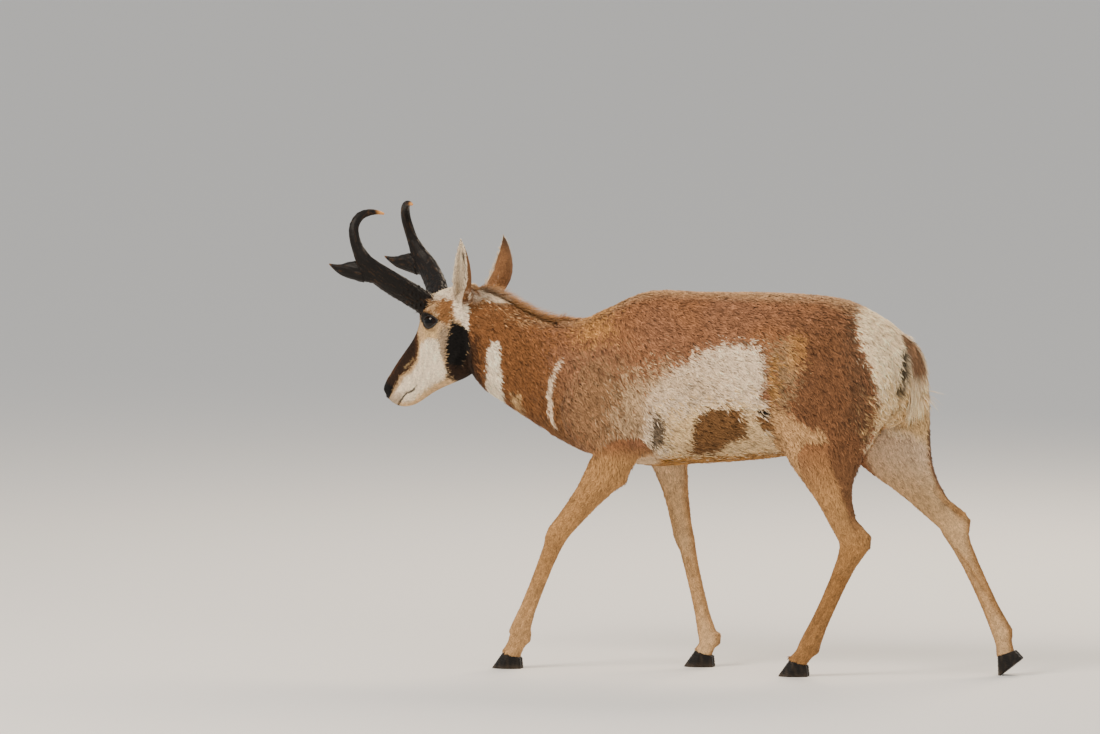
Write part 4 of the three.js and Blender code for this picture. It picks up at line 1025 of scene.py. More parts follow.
# Single hairs are finer than the render shows, so their streaks are drawn about this far apart
STREAK_MM = 3.0
STREAK_RELIEF_MM = 0.8
FIBRE_RELIEF_MM = 0.7
IRIS_THREAD_MM = 1.5
SKIN_PEBBLE_MM = 1.6
PEBBLE_RELIEF_MM = 0.3
HAIR_IOR = 1.55
KERATIN_IOR = 1.56
CORNEA_IOR = 1.376
MOIST_SKIN_IOR = 1.45
# How far horn's mottling, and the iris's threads, shift their colour along its ramp
MOTTLING = 0.14
THREADING = 0.12


def coat_material(name, roughness, sheen):
    """Hair: hollow, coarse and dry, so it scatters light softly with a faint sheen and no clear gloss."""
    material, tree, shader = new_material(name, Roughness=roughness, IOR=HAIR_IOR)
    shader.inputs["Sheen Weight"].default_value = sheen
    shader.inputs["Sheen Roughness"].default_value = 0.5
    shader.inputs["Specular IOR Level"].default_value = 0.12
    tone = add_node(tree, "ShaderNodeAttribute", {"attribute_name": "Coat"})
    place = add_node(tree, "ShaderNodeTexCoord")
    pattern = {"Scale": 1 / (STREAK_MM * MM), "Detail": 3.0, "Roughness": 0.6}
    streaks = add_node(tree, "ShaderNodeTexNoise", pattern, Vector=place.outputs["Object"])
    spread = {"From Min": 0.3, "From Max": 0.7, "To Min": 0.78, "To Max": 1.18}
    shade = add_node(tree, "ShaderNodeMapRange", spread, Value=streaks.outputs["Fac"])
    mixed = add_node(tree, "ShaderNodeMix", {"data_type": "RGBA", "blend_type": "MULTIPLY"})
    mixed.inputs["Factor"].default_value = 1.0
    # the node has sockets for numbers, vectors and colours, and its colours are inputs 6 and 7 and output 2
    tree.links.new(tone.outputs["Color"], mixed.inputs[6])
    tree.links.new(shade.outputs["Result"], mixed.inputs[7])
    tree.links.new(mixed.outputs[2], shader.inputs["Base Color"])
    bump = add_node(tree, "ShaderNodeBump", {"Strength": 0.5, "Distance": STREAK_RELIEF_MM * MM},
                    Height=streaks.outputs["Fac"])
    tree.links.new(bump.outputs["Normal"], shader.inputs["Normal"])
    return material


def keratin_material(name, dark, worn, gloss, fibre_mm):
    """Horn keratin: packed fibres, so it is mottled and finely rough, and paler where it is worn."""
    material, tree, shader = new_material(name, Roughness=gloss, IOR=KERATIN_IOR)
    shader.inputs["Specular IOR Level"].default_value = 0.16
    tone = add_node(tree, "ShaderNodeAttribute", {"attribute_name": "Tone"})
    place = add_node(tree, "ShaderNodeTexCoord")
    pattern = {"Scale": 1 / (fibre_mm * MM), "Detail": 5.0, "Roughness": 0.65}
    grain = add_node(tree, "ShaderNodeTexNoise", pattern, Vector=place.outputs["Object"])
    shade = add_node(tree, "ShaderNodeMath", {"operation": "MULTIPLY_ADD"})
    shade.inputs[1].default_value = MOTTLING
    tree.links.new(grain.outputs["Fac"], shade.inputs[0])
    tree.links.new(tone.outputs["Fac"], shade.inputs[2])
    ramp = add_node(tree, "ShaderNodeValToRGB", Fac=shade.outputs["Value"])
    for stop, (position, code) in zip(ramp.color_ramp.elements, ((0.12, dark), (0.95, worn))):
        stop.position = position
        stop.color = (*linear(code), 1)
    tree.links.new(ramp.outputs["Color"], shader.inputs["Base Color"])
    bump = add_node(tree, "ShaderNodeBump", {"Strength": 0.6, "Distance": FIBRE_RELIEF_MM * MM},
                    Height=grain.outputs["Fac"])
    tree.links.new(bump.outputs["Normal"], shader.inputs["Normal"])
    return material


def wet_eye_material():
    """A living eye: a dark brown iris round a level, oval pupil under a clear, wet, mirroring cornea."""
    material, tree, shader = new_material("wet_eye", Roughness=0.12, IOR=CORNEA_IOR)
    shader.inputs["Specular IOR Level"].default_value = 0.0
    shader.inputs["Coat Weight"].default_value = 0.7
    shader.inputs["Coat Roughness"].default_value = 0.02
    shader.inputs["Coat IOR"].default_value = CORNEA_IOR
    reach = add_node(tree, "ShaderNodeAttribute", {"attribute_name": "Iris"})
    place = add_node(tree, "ShaderNodeTexCoord")
    threads = add_node(tree, "ShaderNodeTexNoise", {"Scale": 1 / (IRIS_THREAD_MM * MM), "Detail": 4.0},
                       Vector=place.outputs["Object"])
    threaded = add_node(tree, "ShaderNodeMath", {"operation": "MULTIPLY_ADD"})
    threaded.inputs[1].default_value = THREADING
    tree.links.new(threads.outputs["Fac"], threaded.inputs[0])
    tree.links.new(reach.outputs["Fac"], threaded.inputs[2])
    ramp = add_node(tree, "ShaderNodeValToRGB", Fac=threaded.outputs["Value"])
    pupil, ball = (0.42, "#060506"), (0.98, "#14100e")
    iris, rim = (0.56, "#1c110a"), (0.84, "#120b08")
    stops = ramp.color_ramp.elements
    for stop, (position, code) in zip(stops, (pupil, ball)):
        stop.position = position
        stop.color = (*linear(code), 1)
    for position, code in (iris, rim):
        stops.new(position).color = (*linear(code), 1)
    tree.links.new(ramp.outputs["Color"], shader.inputs["Base Color"])
    return material


def bare_skin_material(name, code, roughness):
    """Bare moist skin of the lids: leathery, finely pebbled, and a little glossy."""
    material, tree, shader = new_material(name, Base_Color=(*linear(code), 1), Roughness=roughness,
                                          IOR=MOIST_SKIN_IOR)
    shader.inputs["Subsurface Weight"].default_value = 0.03
    place = add_node(tree, "ShaderNodeTexCoord")
    pebbles = add_node(tree, "ShaderNodeTexVoronoi", {"Scale": 1 / (SKIN_PEBBLE_MM * MM)},
                       Vector=place.outputs["Object"])
    bump = add_node(tree, "ShaderNodeBump", {"Strength": 0.45, "Distance": PEBBLE_RELIEF_MM * MM},
                    Height=pebbles.outputs["Distance"])
    tree.links.new(bump.outputs["Normal"], shader.inputs["Normal"])
    return material


# Pieces


class SkinSettings(bpy.types.PropertyGroup):
    """Sizes of the skin."""

    grain: FloatProperty(name="Grain", description="Edge length of the rebuilt surface, in millimetres",
                         default=2.2, min=1.5, max=8.0)
    relief: FloatProperty(name="Relief", description="Strength of bones, muscles, tendons and folds",
                          default=1.0, min=0.0, max=2.0, subtype="FACTOR")
    faces: IntProperty(name="Faces", description="Most triangles that the skin keeps",
                       default=186000, min=20000)


class CoatSettings(bpy.types.PropertyGroup):
    """How thick the coat grows."""

    body_cover: FloatProperty(name="Body cover", description="Layers of tufts over each other on the body",
                              default=3.0, min=0.5, max=6.0)
    leg_cover: FloatProperty(name="Leg cover", description="Layers of tufts over each other on the legs",
                             default=2.6, min=0.5, max=6.0)
    face_cover: FloatProperty(name="Face cover", description="Layers of tufts over each other on the head",
                              default=2.6, min=0.5, max=6.0)
    mane_length: FloatProperty(name="Mane length", description="Longest hair of the mane, in millimetres",
                               default=34.0, min=10.0, max=90.0)


class FinishSettings(bpy.types.PropertyGroup):
    """Colours of the studio."""

    floor: FloatVectorProperty(name="Floor", description="Colour of the studio floor", subtype="COLOR",
                               size=3, default=linear("#e4e3e0"), min=0.0, max=1.0)


# Rounds of smoothing: many on neck and trunk, where solids meet, and few on head and legs, which stay thin
BODY_SMOOTHING = 46
THIN_SMOOTHING = 9
LAST_SMOOTHING = 3


def prepare_skin(name, settings):
    """Rebuilds the flesh as one even surface, smooths it and sets it in under the coat."""
    skin = join_nodes(name, FLESH)
    remesh(skin, settings.grain)
    points = read_points(skin.data)
    points = flatten_mane(points)
    write_points(skin.data, points)
    face = face_coordinates(points)
    on_head = smoothstep(-40, 0, face[:, 0]) * (points[:, 0] < -600)
    legs, _ = leg_shares(points)
    thin = np.maximum.reduce([on_head, legs * smoothstep(560, 470, points[:, 2]), ear_shares(points)])
    relax(skin, BODY_SMOOTHING, 1 - thin)
    relax(skin, THIN_SMOOTHING, np.clip(thin * (1 - 0.9 * ear_shares(points)), 0, 1))
    relax(skin, LAST_SMOOTHING)
    points = read_points(skin.data)
    normals = read_normals(skin.data)
    _, coat = coat_at(points)
    points += normals * (settings.relief * relief_at(points) - coat["depth"])[:, None]
    points = fit_lids(points)
    write_points(skin.data, points)
    return skin


def thin_out(skin, most):
    """Brings the skin down to its count of triangles, and keeps more of them on the head and ears."""
    points = read_points(skin.data)
    face = face_coordinates(points)
    keep = smoothstep(-60, 20, face[:, 0]) * (points[:, 0] < -600)
    keep = np.maximum(keep, ear_shares(points))
    group = weight_group(skin, "keep", 1 - keep)
    skin.data.calc_loop_triangles()
    ratio = most / len(skin.data.loop_triangles)
    use_modifier(skin, "DECIMATE", ratio=ratio, vertex_group=group, vertex_group_factor=0.6,
                 use_collapse_triangulate=True)
    skin.vertex_groups.clear()


def unwrap_skin(skin):
    """Unwraps the skin by its own shape."""
    bpy.ops.object.select_all(action="DESELECT")
    skin.select_set(True)
    bpy.context.view_layer.objects.active = skin
    skin.data.uv_layers.new(name="OFBake")
    bpy.ops.object.mode_set(mode="EDIT")
    bpy.ops.mesh.select_all(action="SELECT")
    bpy.ops.uv.smart_project(angle_limit=math.radians(66), island_margin=0.001)
    bpy.ops.object.mode_set(mode="OBJECT")


class PRONGHORN_OT_skin(bpy.types.Operator):
    """Make the one skin over head, neck, trunk, legs, ears and tail"""

    bl_idname = "pronghorn.skin"
    bl_label = "Skin"

    def execute(self, context):
        settings = context.scene.pronghorn_skin
        skin = prepare_skin("skin", settings)
        thin_out(skin, settings.faces)
        unwrap_skin(skin)
        points = read_points(skin.data)
        # the skin is painted at 0.6 of the coat's colour: painted shade under the tufts
        paint(skin.data, "Coat", coat_colours(points, read_normals(skin.data)) * 0.6)
        skin.data.polygons.foreach_set("use_smooth", np.ones(len(skin.data.polygons), bool))
        dress(skin, coat_material("short_hair_on_skin", 0.85, 0.05), FLESH)
        return {"FINISHED"}


def skin_field():
    """The finished skin, ready to root tufts in."""
    return SkinField(bpy.data.objects["skin"].data)


def head_share(points):
    """How much each point belongs to the head in front of the ears."""
    face = face_coordinates(points)
    return smoothstep(-44, -24, face[:, 0]) * (points[:, 0] < -600) * (1 - ear_shares(points))


def bare_share(points):
    """How much each point is bare: the eyes' openings and rims, and the nose pad."""
    bare = np.zeros(len(points))
    for sign in (1.0, -1.0):
        distance, angle, turn = eye_polar(points, sign)
        bare = np.maximum(bare, (distance < 36) * (angle < opening_angle(turn) + 0.22))
    face = face_coordinates(points)
    pad = inside_depth(face[:, [0, 2]], [(270, 60), (278, 26), (270, 12), (288, 4), (312, 4), (320, 40)])
    return np.maximum(bare, (pad > 1) * 1.0)


class PRONGHORN_OT_body_coat(bpy.types.Operator):
    """Grow the coat of the neck, trunk and tail"""

    bl_idname = "pronghorn.body_coat"
    bl_label = "Body coat"

    def execute(self, context):
        field = skin_field()
        legs, _ = leg_shares(field.middles)
        low = legs * smoothstep(600, 520, field.middles[:, 2])
        body = (1 - head_share(field.middles)) * (1 - low) * (1 - ear_shares(field.middles))
        cover = context.scene.pronghorn_coat.body_cover
        grow_coat("body_coat", field, body, cover, coat_material("coarse_body_hair", 0.8, 0.06))
        return {"FINISHED"}


class PRONGHORN_OT_leg_coat(bpy.types.Operator):
    """Grow the short coat of the legs"""

    bl_idname = "pronghorn.leg_coat"
    bl_label = "Leg coat"

    def execute(self, context):
        field = skin_field()
        legs, _ = leg_shares(field.middles)
        low = legs * smoothstep(600, 520, field.middles[:, 2])
        cover = context.scene.pronghorn_coat.leg_cover
        hair = coat_material("sleek_leg_hair", 0.72, 0.05)
        grow_coat("leg_coat", field, low, cover, hair, contrast=0.55)
        return {"FINISHED"}


class PRONGHORN_OT_face_coat(bpy.types.Operator):
    """Grow the fine coat of the head and the backs of the ears"""

    bl_idname = "pronghorn.face_coat"
    bl_label = "Face coat"

    def execute(self, context):
        field = skin_field()
        head = head_share(field.middles) * (1 - bare_share(field.middles))
        head = np.maximum(head, ear_shares(field.middles))
        cover = context.scene.pronghorn_coat.face_cover
        hair = coat_material("fine_face_hair", 0.72, 0.03)
        grow_coat("face_coat", field, head, cover, hair, contrast=0.65)
        return {"FINISHED"}


# Tufts of long hair per square millimetre of skin
LONG_HAIR = {"mane": 0.26, "tail": 0.16, "ear": 0.3, "horn_hair": 0.3}
HORN_HAIR_REACH = 46
EYE_CLEARANCE = 42


def grow_horn_hair(field, material):
    """Pale fluff that climbs from the brow onto the roots of the horns."""
    seed = SEEDS["horn_hair"]
    for side, sign in (("left", 1.0), ("right", -1.0)):
        root = horn_place(sign, -4, -4, 0)
        way = unit(horn_place(sign, *HORN_RUNS["shaft"][1]) - root)
        away = field.middles - root
        radius = np.linalg.norm(away - (away @ way)[:, None] * way, axis=1)
        near = (radius < HORN_HAIR_REACH) & (np.abs(away @ way) < 30)
        near &= eye_polar(field.middles, sign)[0] > EYE_CLEARANCE
        roots, normals, places = field.draw_roots(near * LONG_HAIR["horn_hair"], seed)
        away = roots - root
        inward = unit((away @ way)[:, None] * way - away)
        lie = unit(way + 0.25 * inward + 0.35 * normals)
        beside = np.linalg.norm(away - (away @ way)[:, None] * way, axis=1)
        length = 17 * smoothstep(HORN_HAIR_REACH, 24, beside) + 4
        width = np.full(len(roots), 1.4)
        corners = blades(roots, normals, lie, length, width, 30, seed + 1, spread=0.14, droop=0.9)
        tones = coat_colours(roots, normals)
        build_coat_piece(f"horn_hair_{side}", corners, places, tones, material, seed + 2)


class PRONGHORN_OT_mane(bpy.types.Operator):
    """Grow the long hair: the mane, the tail's hair, and that of the horns' roots and the ears"""

    bl_idname = "pronghorn.mane"
    bl_label = "Mane and long hair"

    def execute(self, context):
        settings = context.scene.pronghorn_coat
        material = coat_material("long_mane_hair", 0.7, 0.1)
        field = skin_field()
        grow_mane(field, settings.mane_length, material)
        grow_horn_hair(field, material)
        grow_tail_hair(field, material)
        grow_ear_hair(field, material)
        return {"FINISHED"}


def grow_mane(field, longest, material):
    """Long hair in a narrow band on the crest, golden in its middle and dark along its edges."""
    seed = SEEDS["mane"]
    middles = field.middles
    crest_y = np.interp(middles[:, 0], CREST[:, 0], CREST[:, 1])
    crest_z = np.interp(middles[:, 0], CREST[:, 0], CREST[:, 2])
    near = (np.abs(middles[:, 1] - crest_y) < 15) & (middles[:, 2] > crest_z - 34)
    near &= (middles[:, 0] > -655) & (middles[:, 0] < -395)
    roots, normals, places = field.draw_roots(near * LONG_HAIR["mane"], seed)
    share = smoothstep(-655, -620, roots[:, 0]) * smoothstep(-395, -470, roots[:, 0])
    slope = np.interp(roots[:, 0], CREST[:, 0], np.gradient(CREST[:, 2], CREST[:, 0]))
    along = unit(np.column_stack([np.ones(len(roots)), np.zeros(len(roots)), slope]))
    off = roots[:, 1] - np.interp(roots[:, 0], CREST[:, 0], CREST[:, 1])
    along[:, 1] += 0.12 * np.sign(off)
    length = longest * (0.45 + 0.55 * share)
    width = np.full(len(roots), 1.5)
    lift = 44 - 14 * (1 - share)
    corners = blades(roots, normals, along, length, width, lift, seed + 1, spread=0.16, droop=0.8)
    draw = np.random.default_rng(seed + 2)
    tones = coat_colours(roots, normals)
    edge = smoothstep(8, 16, np.abs(off))
    tones = lay(tones, "gold", 0.95 * (1 - 0.6 * edge))
    dark = smoothstep(-480, -560, roots[:, 0]) * draw.uniform(0.0, 1.0, len(roots))
    tones = lay(tones, "mane_dark", 0.7 * edge * dark)
    build_coat_piece("mane", corners, places, tones, material, seed + 3)


def grow_tail_hair(field, material):
    """Long hair that hangs from the tail, brown over its root and white at its sides and end."""
    seed = SEEDS["tail"]
    run = ((408, 0, 785), (440, 0, 665))
    away, share = along_line(field.middles, *run)
    on_tail = (away < 40) & (np.abs(field.middles[:, 1]) < 34) & (share > 0.05) & (share < 1)
    roots, normals, places = field.draw_roots(on_tail * LONG_HAIR["tail"], seed)
    _, share = along_line(roots, *run)
    lie = unit(np.column_stack([np.full(len(roots), 0.22), 0.004 * roots[:, 1], np.full(len(roots), -0.97)]))
    length = 26 + 44 * share
    width = np.full(len(roots), 2.0)
    corners = blades(roots, normals, lie, length, width, 15, seed + 1, spread=0.12, droop=0.7)
    tones = lay(coat_colours(roots, normals), "white_rump", smoothstep(0.4, 0.7, share))
    build_coat_piece("tail_hair", corners, places, tones, material, seed + 2)


def grow_ear_hair(field, material):
    """Long pale hair that fills each ear's cup from its front and rear edges."""
    seed = SEEDS["ear"]
    for side, sign in (("left", 1.0), ("right", -1.0)):
        (root, _, tip), cup, across = ear_frame(sign)
        away, share = on_ear(field.middles, sign)
        normals = unit(np.cross(
            field.points[field.corners[:, 1]] - field.points[field.corners[:, 0]],
            field.points[field.corners[:, 2]] - field.points[field.corners[:, 0]],
        ))
        open_side = (normals @ cup > 0.45) & (away < EAR_REACH) & (share > 0.16) & (share < 0.9)
        roots, out, places = field.draw_roots(open_side * LONG_HAIR["ear"], seed)
        _, share = on_ear(roots, sign)
        inward = -np.sign((roots - root) @ across)[:, None] * across
        way = unit(0.9 * unit(tip - root) + 0.3 * inward)
        length = 9 + 9 * np.sin(math.pi * share)
        width = np.full(len(roots), 1.1)
        corners = blades(roots, out, way, length, width, 14, seed + 1, spread=0.12, droop=0.7)
        tones = coat_colours(roots, out)
        build_coat_piece(f"ear_hair_{side}", corners, places, tones, material, seed + 2)


# The cornea's bulge: how far it stands out, as a share of the ball's radius, and its angle from the axis
CORNEA_RISE = 0.035
CORNEA_REACH = 0.55


def eye_way(angle, turn, front, up, out):
    """The direction from an eyeball's centre at an angle from its axis and a turn from the front corner."""
    return math.sin(angle) * (math.cos(turn) * front + math.sin(turn) * up) + math.cos(angle) * out


def build_eyeball(name, sign):
    """A smooth ball with a slightly raised cornea, and how far each point lies from the pupil's middle."""
    centre, front, up, out = eye_axes(sign)
    rows, turns = 40, 72
    points = [centre + EYE_RADIUS * out]
    reach = [0.0]
    for row in range(1, rows):
        angle = math.pi * row / rows
        radius = EYE_RADIUS * (1 + CORNEA_RISE * math.exp(-((angle / CORNEA_REACH) ** 4)))
        for step in range(turns):
            turn = 2 * math.pi * step / turns
            points.append(centre + radius * eye_way(angle, turn, front, up, out))
            # the pupil is an oval, longer than it is high
            away = math.sin(angle)
            reach.append(math.hypot(away * math.cos(turn) * 0.8, away * math.sin(turn) * 1.35))
    points[0] = centre + EYE_RADIUS * (1 + CORNEA_RISE) * out
    points.append(centre - EYE_RADIUS * out)
    reach.append(1.0)
    faces = []
    for step in range(turns):
        after = (step + 1) % turns
        faces.append((0, 1 + step, 1 + after))
        for row in range(rows - 2):
            a = 1 + row * turns
            faces.append((a + step, a + turns + step, a + turns + after))
            faces.append((a + step, a + turns + after, a + after))
        last = 1 + (rows - 2) * turns
        faces.append((last + after, last + step, len(points) - 1))
    faces = [face[::-1] for face in faces] if sign < 0 else faces
    ball = mesh_from(name, np.array(points), faces)
    rear = np.array([(point - centre) @ out < 0 for point in points])
    store(ball.data, "Iris", np.array(reach) + 0.9 * rear)
    return ball


# Across the rim of a lid: how far outside the opening's edge, and how high over the ball
LID_ROWS = [
    (-0.4, -1.5), (-0.4, 0.25), (0.1, 1.3), (1.0, 2.0), (2.3, 2.1),
    (4.0, 1.6), (6.2, 1.7), (8.5, 1.2), (11.0, -0.5), (11.0, -4.0),
]


def build_lids(name, sign):
    """The bare rim of both lids: a rounded edge on the ball, a crease, and a side sunk in the skin."""
    centre, front, up, out = eye_axes(sign)
    turns = 96
    points = []
    for step in range(turns):
        turn = 2 * math.pi * step / turns
        edge = float(opening_angle(np.array([turn]))[0])
        upper = max(math.sin(turn), 0.0)
        for offset, height in LID_ROWS:
            angle = edge + offset / EYE_RADIUS
            radius = EYE_RADIUS + height * (1 + 0.45 * upper)
            points.append(centre + radius * eye_way(angle, turn, front, up, out))
    rows = len(LID_ROWS)
    faces = []
    for step in range(turns):
        here, there = step * rows, (step + 1) % turns * rows
        for row in range(rows):
            after = (row + 1) % rows
            faces.append((here + row, here + after, there + after, there + row))
    faces = [face[::-1] for face in faces] if sign < 0 else faces
    return mesh_from(name, np.array(points), faces)


def build_lashes(name, sign):
    """Stiff black lashes along the upper lid, longest over its middle, that shade the eye."""
    centre, front, up, out = eye_axes(sign)
    seed = SEEDS["lashes"]
    draw = np.random.default_rng(seed)
    count = 110
    turn = np.linspace(math.radians(22), math.radians(165), count) + draw.normal(0, 0.012, count)
    angle = opening_angle(turn) + 1.6 / EYE_RADIUS
    ring = np.cos(turn)[:, None] * front + np.sin(turn)[:, None] * up
    way = np.sin(angle)[:, None] * ring + np.cos(angle)[:, None] * out
    roots = centre + (EYE_RADIUS + 2.4) * way
    lie = unit(0.75 * out + 0.35 * ring - 0.35 * up + 0.15 * front)
    normals = unit(np.cross(lie, np.cross(ring, lie)))
    length = 8 + 6 * np.sin(turn)
    width = np.full(count, 0.7)
    corners = blades(roots, normals, lie, length, width, 26, seed + 1, spread=0.08, droop=1.3)
    return mesh_from(name, corners.reshape(-1, 3), blade_faces(count))


class PRONGHORN_OT_eyes(bpy.types.Operator):
    """Make the eyeballs, lids and lashes"""

    bl_idname = "pronghorn.eyes"
    bl_label = "Eyes and lids"

    def execute(self, context):
        wet = wet_eye_material()
        rim = bare_skin_material("bare_lid_skin", "#1a1614", 0.38)
        lash = new_material("lash_hair", Base_Color=(*linear("#15110f"), 1), Roughness=0.5)[0]
        for side, sign in (("left", 1.0), ("right", -1.0)):
            dress(build_eyeball(f"eyeball_{side}", sign), wet, [f"eye_{side}"])
            dress(build_lids(f"lids_{side}", sign), rim)
            dress(build_lashes(f"lashes_{side}", sign), lash)
        return {"FINISHED"}


# The horns' run, level to the front, outward and up from the middle of the root, as the solids have it
HORN_ROOT = (82, 46, -10)
HORN_RUNS = {
    "shaft": [(-10, -8, -8), (38, 50, 42), (74, 86, 74), (104, 102, 104), (122, 104, 136)],
    "hook": [(122, 104, 136), (135, 96, 190), (112, 63, 219), (84, 40, 215)],
    "prong": [(62, 80, 66), (132, 104, 84), (198, 103, 98)],
}


def horn_place(sign, ahead, outward, up):
    """A place on a horn."""
    return level_place(HORN_ROOT[0] + ahead, sign * (HORN_ROOT[1] + outward), HORN_ROOT[2] + up)


def horn_runs(points, sign):
    """How far along the horn each point lies, from 0 at the root to 1 at a tip, the run's way there, and
    whether it is on the prong."""
    spine = [horn_place(sign, *place) for place in HORN_RUNS["shaft"] + HORN_RUNS["hook"][1:]]
    lengths = [np.linalg.norm(b - a) for a, b in zip(spine, spine[1:])]
    total = sum(lengths)
    nearest = np.full(len(points), 1e9)
    share = np.zeros(len(points))
    way = np.zeros((len(points), 3))
    done = 0.0
    for a, b, length in zip(spine, spine[1:], lengths):
        away, along = along_line(points, a, b)
        mine = away < nearest
        nearest[mine] = away[mine]
        share[mine] = (done + along[mine] * length) / total
        way[mine] = (b - a) / length
        done += length
    prong = [horn_place(sign, *place) for place in HORN_RUNS["prong"][1:]]
    away, along = along_line(points, *prong)
    mine = away < nearest
    share[mine] = 0.6 + 0.4 * along[mine]
    way[mine] = unit(prong[1] - prong[0])
    return share, way, mine


def horn_nodes(side):
    """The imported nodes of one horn."""
    return [f"horn_{side}_{part}" for part in ("shaft", "prong", "hook")]


def build_horn(name, side, sign):
    """A horn with grooves along its fibres, warts at its base and smooth, worn tips."""
    seed = SEEDS["horn"]
    horn = join_nodes(name, horn_nodes(side))
    remesh(horn, 1.3)
    relax(horn, 10)
    points = read_points(horn.data)
    normals = read_normals(horn.data)
    share, way, on_prong = horn_runs(points, sign)
    stretched = points - 0.88 * np.sum(points * way, axis=1, keepdims=True) * way
    grooves = ripple(stretched, 6.5, seed) * 0.7 + ripple(stretched, 3.4, seed + 1) * 0.35
    warts = np.maximum(ripple(points, 9, seed + 2) + ripple(points, 5, seed + 3) * 0.5, 0)
    base = smoothstep(0.42, 0.05, share)
    worn = smoothstep(0.62, 0.95, share)
    broad = np.where(on_prong, 3.2 * smoothstep(0.98, 0.7, share), 0.6)
    out = grooves * (0.5 - 0.42 * worn) + warts * 1.6 * base + broad
    write_points(horn.data, points + normals * out[:, None])
    tip = smoothstep(0.93, 0.99, share) * np.where(on_prong, 0.15, 1.0)
    tone = 0.02 + 0.05 * smoothstep(-0.4, 1.0, grooves) + 0.02 * worn + 0.9 * tip
    store(horn.data, "Tone", tone)
    return horn


class PRONGHORN_OT_horns(bpy.types.Operator):
    """Make both horns with their prongs and hooks"""

    bl_idname = "pronghorn.horns"
    bl_label = "Horns"

    def execute(self, context):
        keratin = keratin_material("horn_keratin", "#0e0a08", "#dc9a55", 0.5, 4.0)
        for side, sign in (("left", 1.0), ("right", -1.0)):
            dress(build_horn(f"horn_{side}", side, sign), keratin, horn_nodes(side))
        return {"FINISHED"}


GROWTH_RING = 5.5


def build_hoof(name, leg, which):
    """One claw with a rounded wall, growth rings that follow its coronet and a worn edge at the floor."""
    seed = SEEDS["hoof"]
    claw = join_nodes(name, [f"{leg}_claw_{which}"])
    remesh(claw, 1.1)
    floor = read_points(claw.data)[:, 2]
    relax(claw, 12)
    points = read_points(claw.data)
    normals = read_normals(claw.data)
    rings = np.sin((points[:, 2] + 0.32 * points[:, 0]) * 2 * math.pi / GROWTH_RING) * 0.22
    out = (rings + 0.25 * ripple(points, 5, seed)) * (np.abs(normals[:, 2]) < 0.8)
    points += normals * (0.4 + out)[:, None]
    points[:, 2] = np.maximum(points[:, 2], 0.0)
    points[floor < 1.3, 2] = 0.0
    write_points(claw.data, points)
    worn = smoothstep(14, 0, points[:, 2])
    store(claw.data, "Tone", 0.06 + 0.16 * worn + 0.06 * ripple(points, 16, seed + 1))
    return claw


class PRONGHORN_OT_hooves(bpy.types.Operator):
    """Make the eight claws"""

    bl_idname = "pronghorn.hooves"
    bl_label = "Hooves"

    def execute(self, context):
        keratin = keratin_material("hoof_keratin", "#14110f", "#6b5a48", 0.5, 2.5)
        for leg in LEG_NAMES:
            for which in (1, 2):
                piece = build_hoof(f"hoof_{leg}_{which}", leg, which)
                dress(piece, keratin, [f"{leg}_claw_{which}"])
        return {"FINISHED"}


# The camera, where the photograph was taken from: nearly level, far off, a little in front of the near side
VIEW_TURN = math.radians(15)
VIEW_RISE = math.radians(4.5)
VIEW_DISTANCE = 25000.0
PICTURE = (1100, 734)
# One pixel of the photograph on the animal, and the pixel where the model's frame has its origin
PIXEL = 2.35
FEET_PIXEL = (740, 671)
SENSOR = 36.0
FLOOR_REACH = 40000.0


def looking(right, up, back, place):
    """The matrix of something at a place that looks away from its back."""
    return Matrix([(right[i], up[i], back[i], place[i]) for i in range(3)] + [(0, 0, 0, 1)])


def add_camera(scene):
    """The camera that gives the photograph's framing."""
    right = np.array([math.cos(VIEW_TURN), math.sin(VIEW_TURN), 0.0])
    back = np.array([
        math.sin(VIEW_TURN) * math.cos(VIEW_RISE),
        -math.cos(VIEW_TURN) * math.cos(VIEW_RISE),
        math.sin(VIEW_RISE),
    ])
    up = np.cross(back, right)
    aim = right * (PICTURE[0] / 2 - FEET_PIXEL[0]) * PIXEL + up * (FEET_PIXEL[1] - PICTURE[1] / 2) * PIXEL
    place = (aim + back * VIEW_DISTANCE + SHIFT) * MM
    data = bpy.data.cameras.new("camera")
    data.sensor_width = SENSOR
    data.lens = SENSOR * VIEW_DISTANCE / (PICTURE[0] * PIXEL)
    data.clip_end = 100.0
    camera = bpy.data.objects.new("camera", data)
    camera.matrix_world = looking(right, up, back, place)
    scene.collection.objects.link(camera)
    scene.camera = camera


def add_light(name, place, aim, size, power, tint):
    """A soft rectangular lamp of a tint that points at a place, in metres and watts."""
    data = bpy.data.lights.new(name, "AREA")
    data.shape = "RECTANGLE"
    data.size, data.size_y = size
    data.energy = power
    data.color = linear(tint)
    lamp = bpy.data.objects.new(name, data)
    bpy.context.scene.collection.objects.link(lamp)
    back = unit(np.subtract(place, aim))
    right = unit(np.cross((0, 0, 1), back))
    up = np.cross(back, right)
    lamp.matrix_world = looking(right, up, back, place)


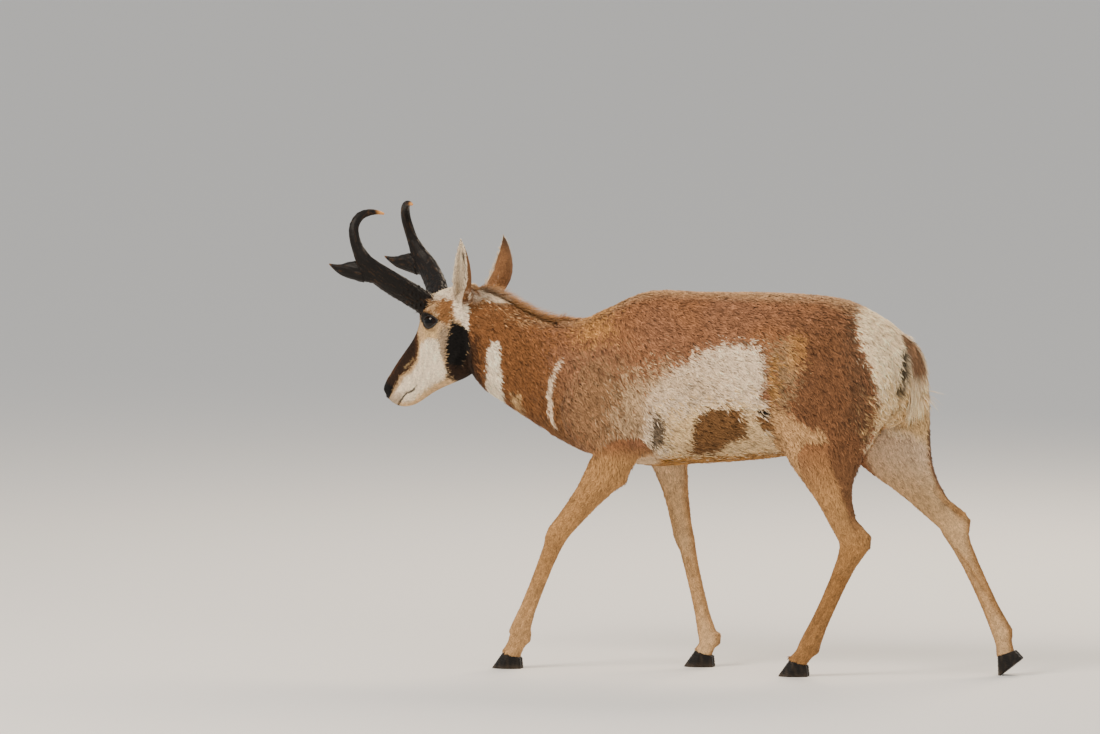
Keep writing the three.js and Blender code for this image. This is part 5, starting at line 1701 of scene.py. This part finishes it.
class PRONGHORN_OT_stage(bpy.types.Operator):
    """Make the pale floor, the soft studio light and the camera"""

    bl_idname = "pronghorn.stage"
    bl_label = "Stage"

    def execute(self, context):
        scene = context.scene
        # painted studio floor: matt and even
        floor_paint, _, shader = new_material("matt_floor_paint", Roughness=0.9)
        shader.inputs["Base Color"].default_value = (*scene.pronghorn_finish.floor, 1)
        corners = [(-FLOOR_REACH, -FLOOR_REACH, 0), (FLOOR_REACH, -FLOOR_REACH, 0),
                   (FLOOR_REACH, FLOOR_REACH, 0), (-FLOOR_REACH, FLOOR_REACH, 0)]
        floor = mesh_from("floor", np.array(corners, float) - SHIFT * [1, 1, 0], [(0, 1, 2, 3)])
        floor.data.materials.append(floor_paint)
        world = bpy.data.worlds.new("studio")
        world.use_nodes = True
        world.node_tree.nodes["Background"].inputs["Color"].default_value = (*linear("#edeceb"), 1)
        world.node_tree.nodes["Background"].inputs["Strength"].default_value = 0.8
        scene.world = world
        add_light("key", (-2.6, -3.4, 4.6), (0, 0, 0.6), (2.2, 2.2), 320, "#fff0de")
        add_light("fill", (3.6, -3.2, 2.4), (0, 0, 0.5), (3.0, 3.0), 60, "#fff6ec")
        add_light("rim", (1.0, 3.6, 3.8), (0, 0, 0.7), (3.0, 2.0), 240, "#ffe9cc")
        add_camera(scene)
        return {"FINISHED"}


class PRONGHORN_PT_panel(bpy.types.Panel):
    """The settings and steps of the pronghorn"""

    bl_label = "Pronghorn buck"
    bl_idname = "PRONGHORN_PT_panel"
    bl_space_type = "VIEW_3D"
    bl_region_type = "UI"
    bl_category = "Pronghorn"

    def draw(self, context):
        scene = context.scene
        for settings in (scene.pronghorn_skin, scene.pronghorn_coat, scene.pronghorn_finish):
            box = self.layout.box()
            for key in settings.__annotations__:
                box.prop(settings, key)
        for step in STEPS:
            self.layout.operator(step.bl_idname)


STEPS = (
    PRONGHORN_OT_stage,
    PRONGHORN_OT_skin,
    PRONGHORN_OT_body_coat,
    PRONGHORN_OT_leg_coat,
    PRONGHORN_OT_face_coat,
    PRONGHORN_OT_mane,
    PRONGHORN_OT_eyes,
    PRONGHORN_OT_horns,
    PRONGHORN_OT_hooves,
)
CLASSES = (SkinSettings, CoatSettings, FinishSettings, *STEPS, PRONGHORN_PT_panel)


def register():
    """Adds the settings, operators and panel to Blender."""
    for item in CLASSES:
        bpy.utils.register_class(item)
    bpy.types.Scene.pronghorn_skin = PointerProperty(type=SkinSettings)
    bpy.types.Scene.pronghorn_coat = PointerProperty(type=CoatSettings)
    bpy.types.Scene.pronghorn_finish = PointerProperty(type=FinishSettings)


def unregister():
    """Takes them out again."""
    for name in ("pronghorn_finish", "pronghorn_coat", "pronghorn_skin"):
        delattr(bpy.types.Scene, name)
    for item in reversed(CLASSES):
        bpy.utils.unregister_class(item)


def main():
    """Builds every piece in order."""
    register()
    bpy.ops.pronghorn.stage()
    bpy.ops.pronghorn.skin()
    bpy.ops.pronghorn.body_coat()
    bpy.ops.pronghorn.leg_coat()
    bpy.ops.pronghorn.face_coat()
    bpy.ops.pronghorn.mane()
    bpy.ops.pronghorn.eyes()
    bpy.ops.pronghorn.horns()
    bpy.ops.pronghorn.hooves()


if __name__ == "__main__":
    main()
